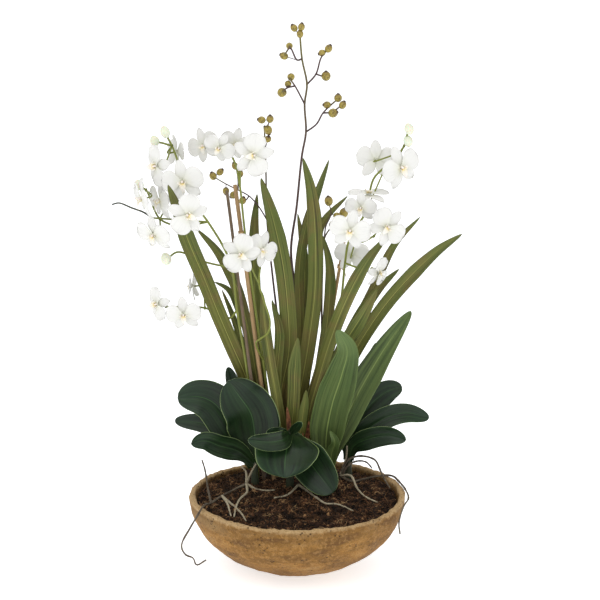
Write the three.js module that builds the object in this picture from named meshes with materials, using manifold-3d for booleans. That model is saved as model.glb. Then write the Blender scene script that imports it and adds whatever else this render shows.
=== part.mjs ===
// A potted moth orchid: a low clay bowl of bark and coir, planted with three rosettes of orchid leaves,
// clumps of strap leaves and lance leaves, staked flower stems with white blooms, berry sprays and roots.
// Millimetres, +Z up. The origin is the centre of the bowl's flat foot, and the front looks along -Y.
import * as THREE from "three";
import { mergeVertices } from "three/addons/utils/BufferGeometryUtils.js";
import Module from "manifold-3d";

const wasm = await Module();
wasm.setup();

// Driving dimensions.
const BOWL = { radius: 177, height: 124, depth: 128, foot: 46, wall: 11, sides: 32, floor: 12 };
const BOWL_LEVELS = [36, 74, 98, 112];
const SOIL = { edge: 113, crown: 121, gap: 1, rings: 3, crumb: 1 };
const RIM_WAVES = [[2, 1.6, 0.6], [5, 0.9, 1.9]];
const CLEAR = 0.4;
const PEG_DEPTH = 26;
const PEG_RISE = 9;
const WIDE_PEG = 6.5;
const STUB = 6.5;
const LEAF = 2.4;
const LANCE = 1.8;
const TWIG = 1.6;
const STALK = 1.3;
const BLADE = 1.4;
const PETAL = 1.2;

// The layout is drawn as the front shows it: a place is [across, down] in a picture 600 wide and 600 high,
// and a depth in millimetres behind the bowl's centre. VIEW is the eye that the picture is seen from.
const VIEW = { tilt: THREE.MathUtils.degToRad(14.5), distance: 3500, focal: 2187.5, middle: 300 };
const AIM = new THREE.Vector3(4.8, 0, 450);
const FORWARD = new THREE.Vector3(0, Math.cos(VIEW.tilt), -Math.sin(VIEW.tilt));
const RISE = new THREE.Vector3(0, Math.sin(VIEW.tilt), Math.cos(VIEW.tilt));
const EYE = AIM.clone().addScaledVector(FORWARD, -VIEW.distance);

const COLOURS = {
  clay: 0xb08a55,
  soil: 0x3a241a,
  orchidLeaf: 0x2b3d26,
  strapLeaf: 0x5c6a32,
  lanceLeaf: 0x5f8046,
  stem: 0x7a8038,
  petal: 0xf2f2ef,
  berry: 0x8a7a2e,
  bamboo: 0xa88560,
  raffia: 0xc9a878,
  root: 0x8b8068,
};

const object = new THREE.Group();

function ray(across, down) {
  const direction = FORWARD.clone();
  direction.x += (across - VIEW.middle) / VIEW.focal;
  return direction.addScaledVector(RISE, (VIEW.middle - down) / VIEW.focal);
}

// The point of the picture at a given depth.
function place(across, down, depth) {
  const direction = ray(across, down);
  return EYE.clone().addScaledVector(direction, (depth - EYE.y) / direction.y);
}

// The point of the picture at a given height.
function placeAtHeight(across, down, height) {
  const direction = ray(across, down);
  return EYE.clone().addScaledVector(direction, (height - EYE.z) / direction.z);
}

function addNode(name, geometry, colour, roughness = 0.6) {
  const material = new THREE.MeshStandardMaterial({ color: colour, roughness, metalness: 0 });
  const mesh = new THREE.Mesh(geometry, material);
  mesh.name = name;
  object.add(mesh);
}

function solidOf(geometry) {
  const bare = geometry.clone();
  bare.deleteAttribute("normal");
  bare.deleteAttribute("uv");
  const merged = mergeVertices(bare, 1e-3);
  const triVerts = new Uint32Array(merged.index.array);
  const vertProperties = new Float32Array(merged.attributes.position.array);
  return new wasm.Manifold(new wasm.Mesh({ numProp: 3, vertProperties, triVerts }));
}

function geometryOf(solid) {
  const mesh = solid.getMesh();
  const geometry = new THREE.BufferGeometry();
  geometry.setAttribute("position", new THREE.BufferAttribute(mesh.vertProperties, 3));
  geometry.setIndex(new THREE.BufferAttribute(mesh.triVerts, 1));
  return geometry;
}

// Joins closed pieces that run into one another into one solid.
function fuse(pieces) {
  const solids = pieces.map(solidOf);
  return geometryOf(solids.reduce((whole, piece) => whole.add(piece)));
}

function cut(base, tools) {
  return geometryOf(tools.map(solidOf).reduce((left, tool) => left.subtract(tool), solidOf(base)));
}

// A closed skin through rings of points. A leaf's ring runs over its face and back under it, and the
// quads of both faces are split along like diagonals, so that a thin waved blade never meets itself.
function skin(rings) {
  const around = rings[0].length;
  const half = around / 2;
  const points = rings.flat().flatMap((point) => [point.x, point.y, point.z]);
  const index = [];
  for (let i = 0; i + 1 < rings.length; i += 1) {
    for (let j = 0; j < around; j += 1) {
      const a = i * around + j;
      const b = i * around + ((j + 1) % around);
      const c = b + around;
      const d = a + around;
      if (j < half) index.push(a, b, c, a, c, d);
      else index.push(a, b, d, b, c, d);
    }
  }
  closeEnd(index, 0, around, false);
  closeEnd(index, (rings.length - 1) * around, around, true);
  const geometry = new THREE.BufferGeometry();
  geometry.setAttribute("position", new THREE.Float32BufferAttribute(points, 3));
  geometry.setIndex(index);
  return geometry;
}

// Fills an end ring with a zigzag of triangles from one side of the ring to the other.
function closeEnd(index, start, around, far) {
  let low = 0;
  let high = around - 1;
  while (low + 1 < high) {
    pushFacing(index, [start + low, start + low + 1, start + high], far);
    low += 1;
    if (low + 1 < high) pushFacing(index, [start + low, start + high - 1, start + high], far);
    high -= 1;
  }
}

function pushFacing(index, [a, b, c], far) {
  if (far) index.push(a, b, c);
  else index.push(a, c, b);
}

// A smooth line through places, as points with directions at given shares of its length, or at even ones.
function lineAt(points, shares) {
  const curve = new THREE.CatmullRomCurve3(points, false, "centripetal");
  return shares.map((share) => ({ share, point: curve.getPointAt(share), along: curve.getTangentAt(share) }));
}

function smoothLine(points, steps) {
  return lineAt(points, Array.from({ length: steps + 1 }, (_, i) => i / steps));
}

// The same, with a step at each of the points themselves.
function throughLine(points) {
  const curve = new THREE.CatmullRomCurve3(points, false, "centripetal");
  const last = points.length - 1;
  return points.map((point, i) => {
    const share = i / last;
    return { share, point: point.clone(), along: curve.getTangent(share) };
  });
}

// Picture places to points: the depth goes from the first point's to the far one's as share ^ ease.
function trace(start, places, farDepth, ease = 1.3) {
  const flat = places.map(([across, down]) => place(across, down, start.y));
  const reach = [0];
  [start, ...flat].reduce((last, next) => {
    reach.push(reach[reach.length - 1] + last.distanceTo(next));
    return next;
  });
  const total = reach[reach.length - 1];
  const depthAt = (k) => start.y + (farDepth - start.y) * (reach[k] / total) ** ease;
  return [start, ...places.map(([across, down], k) => place(across, down, depthAt(k + 1)))];
}

// A leaf blade: a thin closed skin along a line. half(share) is half its width, face turns it about its
// length away from the eye, fold lifts its edges, and across is how many strips make its width.
function blade(line, options) {
  const { half, face = 0, fold = 0.2, across = 2, thick = BLADE } = options;
  const rings = line.map(({ share, point, along }) => {
    const side = new THREE.Vector3().crossVectors(FORWARD, along).normalize();
    side.applyAxisAngle(along, THREE.MathUtils.degToRad(face));
    const up = new THREE.Vector3().crossVectors(side, along).normalize();
    const reach = half(share);
    const top = [];
    const under = [];
    for (let k = 0; k <= across; k += 1) {
      const u = (2 * k) / across - 1;
      const lift = fold * reach * u * u;
      const middle = point.clone().addScaledVector(side, reach * u).addScaledVector(up, lift);
      const wall = (thick / 2) * (1 - 0.45 * Math.abs(u));
      top.push(middle.clone().addScaledVector(up, wall));
      under.push(middle.clone().addScaledVector(up, -wall));
    }
    return [...top, ...under.reverse()];
  });
  return skin(rings);
}

// A round rod along a line, with radius(share).
function rod(line, radius, sides = 5) {
  let across = new THREE.Vector3(1, 0, 0);
  if (Math.abs(line[0].along.x) > 0.9) across.set(0, 1, 0);
  const rings = line.map(({ share, point, along }) => {
    across = across.clone().addScaledVector(along, -across.dot(along)).normalize();
    const other = new THREE.Vector3().crossVectors(along, across);
    return Array.from({ length: sides }, (_, k) => {
      const angle = (2 * Math.PI * k) / sides;
      const spoke = across.clone().multiplyScalar(Math.cos(angle)).addScaledVector(other, Math.sin(angle));
      return point.clone().addScaledVector(spoke, radius(share));
    });
  });
  return skin(rings);
}

// An egg along an axis: a bud, a berry, a crown or the lobe of a flower.
function egg(centre, axis, length, width, sides = 6, rows = 4) {
  const direction = axis.clone().normalize();
  const line = Array.from({ length: rows + 1 }, (_, i) => {
    const angle = Math.PI * (0.06 + (0.88 * i) / rows);
    return {
      share: Math.sin(angle),
      point: centre.clone().addScaledVector(direction, (-Math.cos(angle) * length) / 2),
      along: direction,
    };
  });
  return rod(line, (share) => (share * width) / 2, sides);
}

// An upright peg with flat sides, as a stem's foot or the tool that cuts its hole.
function peg(x, y, radius, bottom, top) {
  const prism = new THREE.CylinderGeometry(radius, radius, top - bottom, radius > WIDE_PEG ? 6 : 4);
  prism.rotateX(Math.PI / 2);
  prism.translate(x, y, (top + bottom) / 2);
  return prism;
}

// The bowl: half of a flattened ball turned in clay, with a flat foot and a rim that waves a little.
function bowlRadius(height, inset) {
  const down = Math.max(0, BOWL.height - height);
  return (BOWL.radius - inset) * Math.sqrt(Math.max(0, 1 - (down / (BOWL.depth - inset)) ** 2));
}

function rimWave(angle) {
  return RIM_WAVES.reduce((sum, [count, size, turn]) => sum + size * Math.sin(count * angle + turn), 0);
}

function turned(profile) {
  const rings = profile.map(([radius, height]) =>
    Array.from({ length: BOWL.sides }, (_, k) => {
      const angle = (2 * Math.PI * k) / BOWL.sides;
      const lift = rimWave(angle) * Math.max(0, height / BOWL.height - 0.5) * 2;
      return new THREE.Vector3(radius * Math.cos(angle), radius * Math.sin(angle), height + lift);
    }),
  );
  return skin(rings);
}

function makeBowl() {
  const outer = [0, 15, 38, 70, 108].map((height) => [
    Math.max(BOWL.foot, bowlRadius(height, 0)),
    height,
  ]);
  const rim = [
    [BOWL.radius - 1.5, BOWL.height - 1.5],
    [BOWL.radius - BOWL.wall / 2, BOWL.height],
    [BOWL.radius - BOWL.wall + 1, BOWL.height - 1.5],
  ];
  const levels = [BOWL.floor, ...BOWL_LEVELS].reverse();
  const inner = levels.map((height) => [bowlRadius(height, BOWL.wall), height]);
  addNode("bowl", turned([...outer, ...rim, ...inner]), COLOURS.clay, 0.85);
}

// The soil fills the bowl to a little under its rim, rises to the middle, is crumbly on top, and has a plain
// hole for every stem that stands in it.
function soilHeight(x, y) {
  const out = Math.hypot(x, y) / (BOWL.radius - BOWL.wall);
  const crumbs = Math.sin(x / 11 + 1.7) * Math.sin(y / 9 + 0.4) + 0.6 * Math.sin(x / 5.3 + y / 6.1);
  return SOIL.crown - (SOIL.crown - SOIL.edge) * out * out + SOIL.crumb * crumbs;
}

function makeSoil(feet) {
  const wall = (height) => bowlRadius(height, BOWL.wall + SOIL.gap);
  const side = [BOWL.floor + CLEAR, ...BOWL_LEVELS.slice(0, -1)];
  const rings = side.map((height) => ringAt(wall(height), () => height));
  const edge = (wall(BOWL_LEVELS[2]) + wall(BOWL_LEVELS[3])) / 2;
  for (let i = 0; i < SOIL.rings; i += 1) {
    rings.push(ringAt(edge * (1 - i / (SOIL.rings - 0.5)), soilHeight));
  }
  const holes = feet.map(([x, y, radius]) =>
    peg(x, y, radius + CLEAR, SOIL.crown - PEG_DEPTH - CLEAR, SOIL.crown + 20),
  );
  const slanting = Object.values(STAKES).map((stake) => stakeRod(stake, CLEAR));
  addNode("soil", cut(skin(rings), [...holes, ...slanting]), COLOURS.soil, 1);
}

function ringAt(radius, heightAt) {
  return Array.from({ length: BOWL.sides }, (_, k) => {
    const angle = (2 * Math.PI * k) / BOWL.sides;
    const x = radius * Math.cos(angle);
    const y = radius * Math.sin(angle);
    return new THREE.Vector3(x, y, heightAt(x, y));
  });
}

// A foot is [x, y, radius] on the soil: a peg in its hole, up to a crown just above it.
const PEG_TOP = SOIL.crown + PEG_RISE;

function footPeg([x, y, radius]) {
  return peg(x, y, radius, SOIL.crown - PEG_DEPTH, PEG_TOP);
}

function crownOf([x, y]) {
  return new THREE.Vector3(x, y, PEG_TOP - 3);
}

function ramp(share) {
  const clamped = Math.min(1, Math.max(0, share));
  return clamped * clamped * (3 - 2 * clamped);
}

// Half widths along a leaf, from its share of the length: a strap keeps its width and tapers late, an oval
// orchid leaf is widest past its middle, and a lance leaf is widest below it.
const strap = (width) => (share) => {
  const spread = 0.4 + 0.6 * ramp(share / 0.35);
  return Math.max(0.7, (width / 2) * spread * Math.min(1, (1 - share) / 0.2) ** 0.55);
};
const oval = (width) => (share) => {
  const spread = 0.36 + 0.64 * ramp(share / 0.48);
  return (width / 2) * spread * Math.max(0.2, Math.sqrt(Math.max(0, 1 - share ** 5)));
};
const lance = (width) => (share) => {
  const spread = 0.26 + 0.74 * ramp(share / 0.36);
  return Math.max(0.8, (width / 2) * spread * Math.min(1, (1 - share) / 0.4) ** 0.5);
};

// Leaves of a clump: places up from the crown, far depth, width in millimetres, and how the blade is turned.
const STRAP_CLUMPS = {
  strap_leaves_left: {
    foot: [-46, 96, 7],
    leaves: [
      {
        at: [[247.6, 382], [231.5, 344], [217, 310], [205, 280], [188, 240], [177, 208], [168, 185]],
        far: -98,
        ease: 2.4,
        width: 26,
      },
      { at: [[256, 400], [247, 362], [236, 326], [222, 290]], far: 80, width: 12, face: 25 },
      { at: [[257, 380], [246, 320], [236, 285], [218, 252], [197, 229]], far: 100, width: 19, face: -15 },
      { at: [[262, 385], [250, 340], [238, 308], [228, 290], [214.6, 282]], far: 130, width: 17, face: 30 },
      { at: [[257, 395], [255.5, 350], [250, 312]], far: 118, width: 9, face: 10 },
      { at: [[262, 400], [258, 340], [254, 280], [254, 225], [257, 194]], far: 125, width: 21, face: 20 },
    ],
  },
  strap_leaves_centre: {
    foot: [-12, 98, 8],
    leaves: [
      {
        at: [[281, 400], [289, 350], [288, 310], [283, 265], [274, 222], [261, 178]],
        far: 40,
        width: 28,
        face: -10,
      },
      {
        at: [[299, 400], [309, 340], [315, 290], [315, 230], [311, 190], [303, 158]],
        far: 60,
        width: 25,
        fold: 0.3,
      },
      {
        at: [[297, 400], [300, 320], [299, 268], [306, 225], [318, 190], [329, 160]],
        far: 175,
        width: 19,
        face: 30,
      },
      { at: [[303, 400], [311, 330], [314, 270], [322, 225], [347.5, 196]], far: 190, width: 17, face: -20 },
      { at: [[296, 400], [303, 330], [304, 260], [297.7, 213.5]], far: 205, width: 16, face: 15 },
    ],
  },
  strap_leaves_right: {
    foot: [30, 84, 8],
    leaves: [
      { at: [[310, 428], [321, 362], [328.5, 310], [329.5, 268], [323, 236]], far: 120, width: 19, face: 15 },
      {
        at: [[308, 424], [320.5, 372], [337, 322], [354.5, 283], [370, 257], [388.5, 235]],
        far: -18,
        width: 22,
        fold: 0.3,
      },
      { at: [[318, 420], [345, 345], [372, 290], [394, 245], [420, 217]], far: 170, width: 15, face: 15 },
      { at: [[314, 424], [340, 352], [364, 312], [377, 289]], far: 20, width: 25, face: 20, fold: 0.4 },
      { at: [[317, 418], [352, 330], [378, 290], [399, 269]], far: 130, width: 19, face: -10 },
      {
        at: [[325, 420], [350, 360], [380, 312], [405, 282], [436, 252], [462, 234]],
        far: 50,
        width: 23,
        fold: 0.15,
      },
    ],
  },
  strap_leaves_front: {
    foot: [-12, 66, 6],
    leaves: [
      { at: [[291, 440], [294, 400], [295, 370], [298, 338]], far: 48, width: 22, face: -15 },
      { at: [[282, 430], [276, 395], [269, 355], [264, 318], [262, 292]], far: 46, width: 18, face: 10 },
      { at: [[299, 440], [303.5, 410], [306, 390]], far: 30, width: 16, face: 20 },
      { at: [[281, 428], [277, 380], [280, 330], [272, 300]], far: 70, width: 18, face: -25 },
    ],
  },
};

function makeStrapClump(name, { foot, leaves }) {
  const blades = leaves.map(({ at, far, ease, width, ...turn }) => {
    const line = smoothLine(trace(crownOf(foot), at, far, ease), at.length > 5 ? 8 : 5);
    return blade(line, { half: strap(width), fold: 0.2, ...turn });
  });
  addNode(name, fuse([footPeg(foot), ...blades]), COLOURS.strapLeaf, 0.55);
}

const LANCE_CLUMP = {
  foot: [52, 62, 7],
  leaves: [
    { at: [[326, 440], [332, 405], [342, 374], [347, 350], [337, 330]], far: 0, width: 58, fold: 0.2 },
    { at: [[334, 446], [352, 405], [376, 362], [393, 336], [411, 311]], far: 120, width: 46, face: 8 },
    { at: [[336, 448], [352, 400], [364, 368], [375.6, 343]], far: 112, width: 14, face: -30 },
    { at: [[332, 452], [335, 442], [330, 431]], far: 30, width: 18, face: 10 },
  ],
};

function makeLanceClump({ foot, leaves }) {
  const blades = leaves.map(({ at, far, width, ...turn }) => {
    const line = smoothLine(trace(crownOf(foot), at, far), at.length > 4 ? 8 : 6);
    return blade(line, { half: lance(width), across: width > 40 ? 4 : 2, thick: LANCE, ...turn });
  });
  addNode("lance_leaves", fuse([footPeg(foot), ...blades]), COLOURS.lanceLeaf, 0.5);
}

// Orchid leaves are cut across at these shares of their length, closest at the round tip.
const LARGE_LEAF = [0, 0.2, 0.42, 0.64, 0.82, 0.94, 1];
const SMALL_LEAF = [0, 0.3, 0.6, 0.84, 1];

// Orchid leaves are thick and oval; each row of places starts at the crown.
const ROSETTES = {
  orchid_leaves_left: {
    foot: [-70, 56, 9],
    rise: 26,
    leaves: [
      { at: [[240, 440], [215, 404], [200, 397], [177.5, 398]], far: 66, width: 72 },
      { at: [[255, 440], [251, 414], [239, 396], [228, 381]], far: 50, width: 90 },
      { at: [[244, 430], [235, 390], [228, 367]], far: 112, width: 30 },
      { at: [[240, 452], [220, 446], [205, 441], [191, 444]], far: 10, width: 38 },
      { at: [[235, 440], [205, 424], [175, 420.5]], far: 100, width: 34 },
    ],
  },
  orchid_leaves_front: {
    foot: [-12, 34, 9],
    rise: 88,
    leaves: [
      { at: [[287, 448], [285, 462], [285, 478]], far: -44, width: 106, ease: 0.7 },
      { at: [[302, 452], [317, 472], [333, 493]], far: -22, width: 66 },
      { at: [[282, 440], [268, 442], [248, 440]], far: -46, width: 32, ease: 0.4 },
      { at: [[294, 429.5], [302, 422]], far: 8, width: 15 },
      { at: [[280, 431.5], [266, 432]], far: 6, width: 15 },
    ],
  },
  orchid_leaves_right: {
    foot: [86, 92, 9],
    rise: 22,
    leaves: [
      { at: [[352, 430], [372, 403], [388, 391], [402, 387]], far: 150, width: 50 },
      { at: [[356, 440], [385, 418], [406, 413], [429, 418]], far: 96, width: 38 },
      { at: [[354, 446], [372, 438], [390, 436], [406, 440]], far: 50, width: 36 },
      { at: [[348, 440], [345, 418], [350, 400]], far: 160, width: 40 },
    ],
  },
};

function makeRosette(name, { foot, rise, leaves }) {
  const crown = crownOf(foot);
  crown.z += rise;
  const blades = leaves.map(({ at, far, ease = 1, width, ...turn }) => {
    const line = lineAt(trace(crown, at, far, ease), width > 50 ? LARGE_LEAF : SMALL_LEAF);
    return blade(line, { half: oval(width), fold: 0.22, across: width > 50 ? 4 : 2, thick: LEAF, ...turn });
  });
  const stubTop = crown.clone().add(new THREE.Vector3(0, 0, STUB));
  const stub = rod(smoothLine([crownOf(foot), stubTop], 2), () => STUB, 8);
  addNode(name, fuse([footPeg(foot), stub, ...blades]), COLOURS.orchidLeaf, 0.35);
}

// A bloom is [across, down, depth], the way that it faces (azimuth to the right of the front, elevation),
// its roll and its size as a share of the largest.
const BLOOMS = {
  left_1: { at: [156, 166, -25], faces: [-52, 0], roll: 75, size: 0.95 },
  left_2: { at: [176, 152, 12], faces: [120, 0], roll: 0, size: 0.8 },
  left_3: { at: [183, 182, -55], faces: [-12, -5], roll: -12, size: 1 },
  left_4: { at: [142, 199, -24], faces: [-70, -10], roll: 10, size: 1 },
  left_5: { at: [160, 201, -8], faces: [-60, 0], roll: 0, size: 0.95 },
  left_6: { at: [188, 215, -98], faces: [5, 0], roll: -68, size: 0.95 },
  left_7: { at: [154, 235, -12], faces: [-35, -20], roll: 0, size: 0.95 },
  left_8: { at: [193, 286, 64], faces: [-100, 0], roll: 0, size: 0.75 },
  left_9: { at: [157, 304, 18], faces: [-45, 0], roll: 70, size: 0.8 },
  left_10: { at: [184, 315, -6], faces: [-8, -5], roll: -8, size: 0.85 },
  middle_1: { at: [204, 146, 18], faces: [-30, 0], roll: -25, size: 0.85 },
  middle_2: { at: [219, 148, -4], faces: [-10, -10], roll: 30, size: 0.75 },
  middle_3: { at: [235, 144, 12], faces: [15, 5], roll: 20, size: 0.75 },
  middle_4: { at: [253, 155, -18], faces: [12, 0], roll: 84, size: 1 },
  middle_5: { at: [241, 254, -34], faces: [-12, 0], roll: -62, size: 0.95 },
  middle_6: { at: [261, 250, -12], faces: [40, 0], roll: 30, size: 0.9 },
  right_1: { at: [376, 160, 46], faces: [165, 0], roll: 0, size: 0.95 },
  right_2: { at: [401, 168, -6], faces: [35, 0], roll: -20, size: 1.05 },
  right_3: { at: [369, 194, 3], faces: [8, 84], roll: 0, size: 0.95 },
  right_4: { at: [361, 208, -34], faces: [-15, -8], roll: 0, size: 0.75 },
  right_5: { at: [350, 231, -64], faces: [-5, 0], roll: 12, size: 0.95 },
  right_6: { at: [387, 227, -44], faces: [20, 0], roll: 50, size: 0.95 },
  right_7: { at: [352, 255, 106], faces: [170, 5], roll: 0, size: 0.85 },
  right_8: { at: [379, 272, 48], faces: [55, -20], roll: 60, size: 0.8 },
};

// A bloom's own frame: its middle, the way out of its face, and its up and right.
function bloomFrame({ at, faces, roll }) {
  const [azimuth, elevation] = faces.map(THREE.MathUtils.degToRad);
  const out = new THREE.Vector3(
    Math.sin(azimuth) * Math.cos(elevation),
    -Math.cos(azimuth) * Math.cos(elevation),
    Math.sin(elevation),
  );
  const right = new THREE.Vector3(Math.cos(azimuth), Math.sin(azimuth), 0);
  right.applyAxisAngle(out, THREE.MathUtils.degToRad(-roll));
  const up = new THREE.Vector3().crossVectors(out, right);
  return { middle: place(...at), out, right, up };
}

// Tepals of a moth orchid: [angle, length, width, height above the disc, backward bend]. The three narrow
// ones stand behind and the two broad ones in front.
const TEPALS = [
  [14, 35, 36, 1.4, -1.5],
  [90, 35, 20, -1.3, -3.5],
  [166, 35, 36, 1.4, -1.5],
  [231, 33, 20, -1.3, -5],
  [309, 33, 20, -1.3, -5],
];
const HUB = { corners: [-17, 52, 128, 198, 270], radius: 3.4, half: 2 };
const LIP = [[2.5, 6, 1.4], [11, 9, 0.8]];

// A bloom is one skin: a five-sided hub whose sides run out into the tepals, which first part in height
// and then widen over each other, and whose front runs out and down into the lip.
function makeBloom(name, bloom) {
  const { middle, out, right, up } = bloomFrame(bloom);
  const points = [];
  const index = [];
  const add = (x, y, z) => {
    const point = middle.clone().addScaledVector(right, x * bloom.size).addScaledVector(up, y * bloom.size);
    points.push(point.addScaledVector(out, z));
    return points.length - 1;
  };
  const bridge = (from, to) =>
    from.forEach((a, k) => {
      const b = from[(k + 1) % from.length];
      const c = to[(k + 1) % from.length];
      if (k % 2) index.push(a, b, to[k], b, c, to[k]);
      else index.push(a, b, c, a, c, to[k]);
    });
  const corner = (angle, radius, down, height) => {
    const turn = THREE.MathUtils.degToRad(angle);
    return add(radius * Math.cos(turn), radius * Math.sin(turn) - down, height);
  };
  const back = HUB.corners.map((angle) => corner(angle, HUB.radius, 0, -HUB.half));
  const front = HUB.corners.map((angle) => corner(angle, HUB.radius, 0, HUB.half));
  index.push(back[0], back[2], back[1], back[0], back[3], back[2], back[0], back[4], back[3]);
  TEPALS.forEach(([angle, length, width, height, bend], k) => {
    const next = (k + 1) % 5;
    const turn = THREE.MathUtils.degToRad(angle);
    const broad = width > 20;
    const shares = broad ? [0.23, 0.5, 0.8, 1] : [0.25, 0.6, 1];
    const halves = broad ? [2.9, width * 0.47, width * 0.47, width * 0.2] : [2.6, width / 2, width * 0.15];
    let ring = [back[k], back[next], front[next], front[k]];
    shares.forEach((share, step) => {
      const level = height + bend * share * share;
      const spot = (side, lift) =>
        add(
          length * share * Math.cos(turn) - side * halves[step] * Math.sin(turn),
          length * share * Math.sin(turn) + side * halves[step] * Math.cos(turn),
          level + lift,
        );
      const next4 = [spot(-1, -PETAL / 2), spot(1, -PETAL / 2), spot(1, PETAL / 2), spot(-1, PETAL / 2)];
      bridge(ring, next4);
      ring = next4;
    });
    index.push(ring[0], ring[1], ring[2], ring[0], ring[2], ring[3]);
  });
  let ring = front;
  LIP.forEach(([down, height, grown]) => {
    const next5 = HUB.corners.map((angle) => corner(angle, HUB.radius * grown, down, height));
    bridge(ring, next5);
    ring = next5;
  });
  index.push(ring[0], ring[1], ring[2], ring[0], ring[2], ring[3], ring[0], ring[3], ring[4]);
  const geometry = new THREE.BufferGeometry();
  geometry.setAttribute("position", new THREE.Float32BufferAttribute(points.flatMap((p) => p.toArray()), 3));
  geometry.setIndex(index);
  addNode(`bloom_${name}`, geometry, COLOURS.petal, 0.45);
}

// Where a bloom's stalk ends, just clear of its back.
const BLOOM_BACK = 2.7;

function bloomBack(name, clear = BLOOM_BACK) {
  const frame = bloomFrame(BLOOMS[name]);
  return frame.middle.clone().addScaledVector(frame.out, -clear);
}

// Flower stems. The first line climbs from the foot and the others leave it at its nearest point. Each
// bloom is [name, line, share of the line where its stalk starts], and a bud is [place, length, width].
const FLOWER_STEMS = {
  flower_stem_left: {
    foot: [-66, 82, 3],
    lines: [
      [
        [254, 420, 76], [245.5, 360, 66], [237, 310, 58], [232, 268, 46], [224, 248, 24],
        [208, 222, -10], [196, 205, -36], [182, 172, -30], [172, 146, 0], [165, 133, -10],
      ],
      [[208, 222, -10], [180, 226, 20], [160, 219, 26], [146, 190, 28], [140, 187, 22]],
      [[232, 268, 46], [205, 262, 50], [178, 252, 30], [167, 259, 14]],
      [[238, 314, 58], [230, 318, 62], [218, 313, 66], [205, 308, 64], [184.5, 307, 30], [166, 306.5, 26]],
      [[172, 146, 0], [162, 143, 4], [155, 142, 2]],
      [[160, 219, 26], [152.6, 218, 22], [143, 212, 18], [132, 208, 14], [119, 203, 8], [112, 204.5, 4]],
    ],
    blooms: [
      ["left_1", 0, 0.9], ["left_2", 0, 0.93], ["left_3", 0, 0.84], ["left_6", 0, 0.72],
      ["left_4", 1, 0.8], ["left_5", 1, 0.62], ["left_7", 1, 0.5],
      ["left_8", 3, 0.62], ["left_9", 3, 1], ["left_10", 3, 0.8],
    ],
    buds: [
      [[165, 132, -14], 20, 15], [[154.5, 141, 2], 18, 15],
      [[139, 185, 20], 18, 15], [[166, 259, 10], 21, 17],
    ],
  },
  flower_stem_middle: {
    foot: [-20, 84, 3],
    lines: [
      [
        [272, 420, 80], [263, 360, 70], [254, 300, 62], [247, 250, 54], [243.5, 220, 48],
        [240, 187, 42], [235, 163, 34], [228, 152, 30], [216, 147, 34],
      ],
      [
        [260, 345, 68], [256, 343, 52], [260, 339, 42], [268, 333, 34],
        [270, 322, 30], [264, 301, 18], [259, 284, 8], [260, 268, 2],
      ],
      [[240, 187, 42], [241, 168, 34], [248, 162, 20]],
    ],
    blooms: [
      ["middle_1", 0, 1], ["middle_2", 0, 0.96], ["middle_3", 0, 0.9], ["middle_4", 2, 0.8],
      ["middle_5", 1, 0.9], ["middle_6", 1, 1],
    ],
    buds: [],
  },
  flower_stem_right: {
    foot: [26, 124, 3],
    lines: [
      [
        [318, 420, 126], [330, 350, 124], [341, 300, 112], [345, 263, 92], [349, 240.5, 62],
        [360, 222, 36], [366, 212, 32], [369, 196, 38], [374, 178, 30],
        [386, 166, 26], [399, 153, 16], [404, 146, 10], [408, 131, 4],
      ],
      [[349, 240.5, 62], [362, 242, 40], [374, 236, 10]],
      [[345, 263, 92], [358, 268, 80], [370, 272, 62]],
    ],
    blooms: [
      ["right_1", 0, 0.88], ["right_2", 0, 0.92], ["right_3", 0, 0.8], ["right_4", 0, 0.54],
      ["right_5", 0, 0.42], ["right_6", 1, 1], ["right_7", 0, 0.62], ["right_8", 2, 0.9],
    ],
    buds: [[[408, 141, 8], 19, 15], [[409, 129, 4], 19, 15]],
  },
};

function stemRadius(share) {
  return 2.4 - 1.1 * share;
}

function nearest(line, goal) {
  const far = ({ point }) => point.distanceTo(goal);
  return line.reduce((best, next) => (far(next) < far(best) ? next : best)).point;
}

function makeFlowerStem(name, { foot, lines, blooms, buds }) {
  const main = throughLine([crownOf(foot), ...lines[0].map((at) => place(...at))]);
  const branches = lines.slice(1).map((line) => {
    const points = line.map((at) => place(...at));
    return throughLine([nearest(main, points[0]), ...points.slice(1)]);
  });
  const all = [main, ...branches];
  const stalks = blooms.map(([bloom, k, share]) => {
    const from = all[k][Math.round(share * (all[k].length - 1))].point;
    return rod(smoothLine([from, bloomBack(bloom, 15), bloomBack(bloom)], 2), () => STALK, 3);
  });
  const upright = new THREE.Vector3(-0.3, 0, 1);
  const tips = buds.map(([at, length, width]) => egg(place(...at), upright, length, width, 5, 3));
  const rods = [rod(main, stemRadius, 4), ...branches.map((line) => rod(line, () => TWIG, 3))];
  addNode(name, fuse([footPeg(foot), ...rods, ...stalks, ...tips]), COLOURS.stem, 0.5);
}

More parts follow.
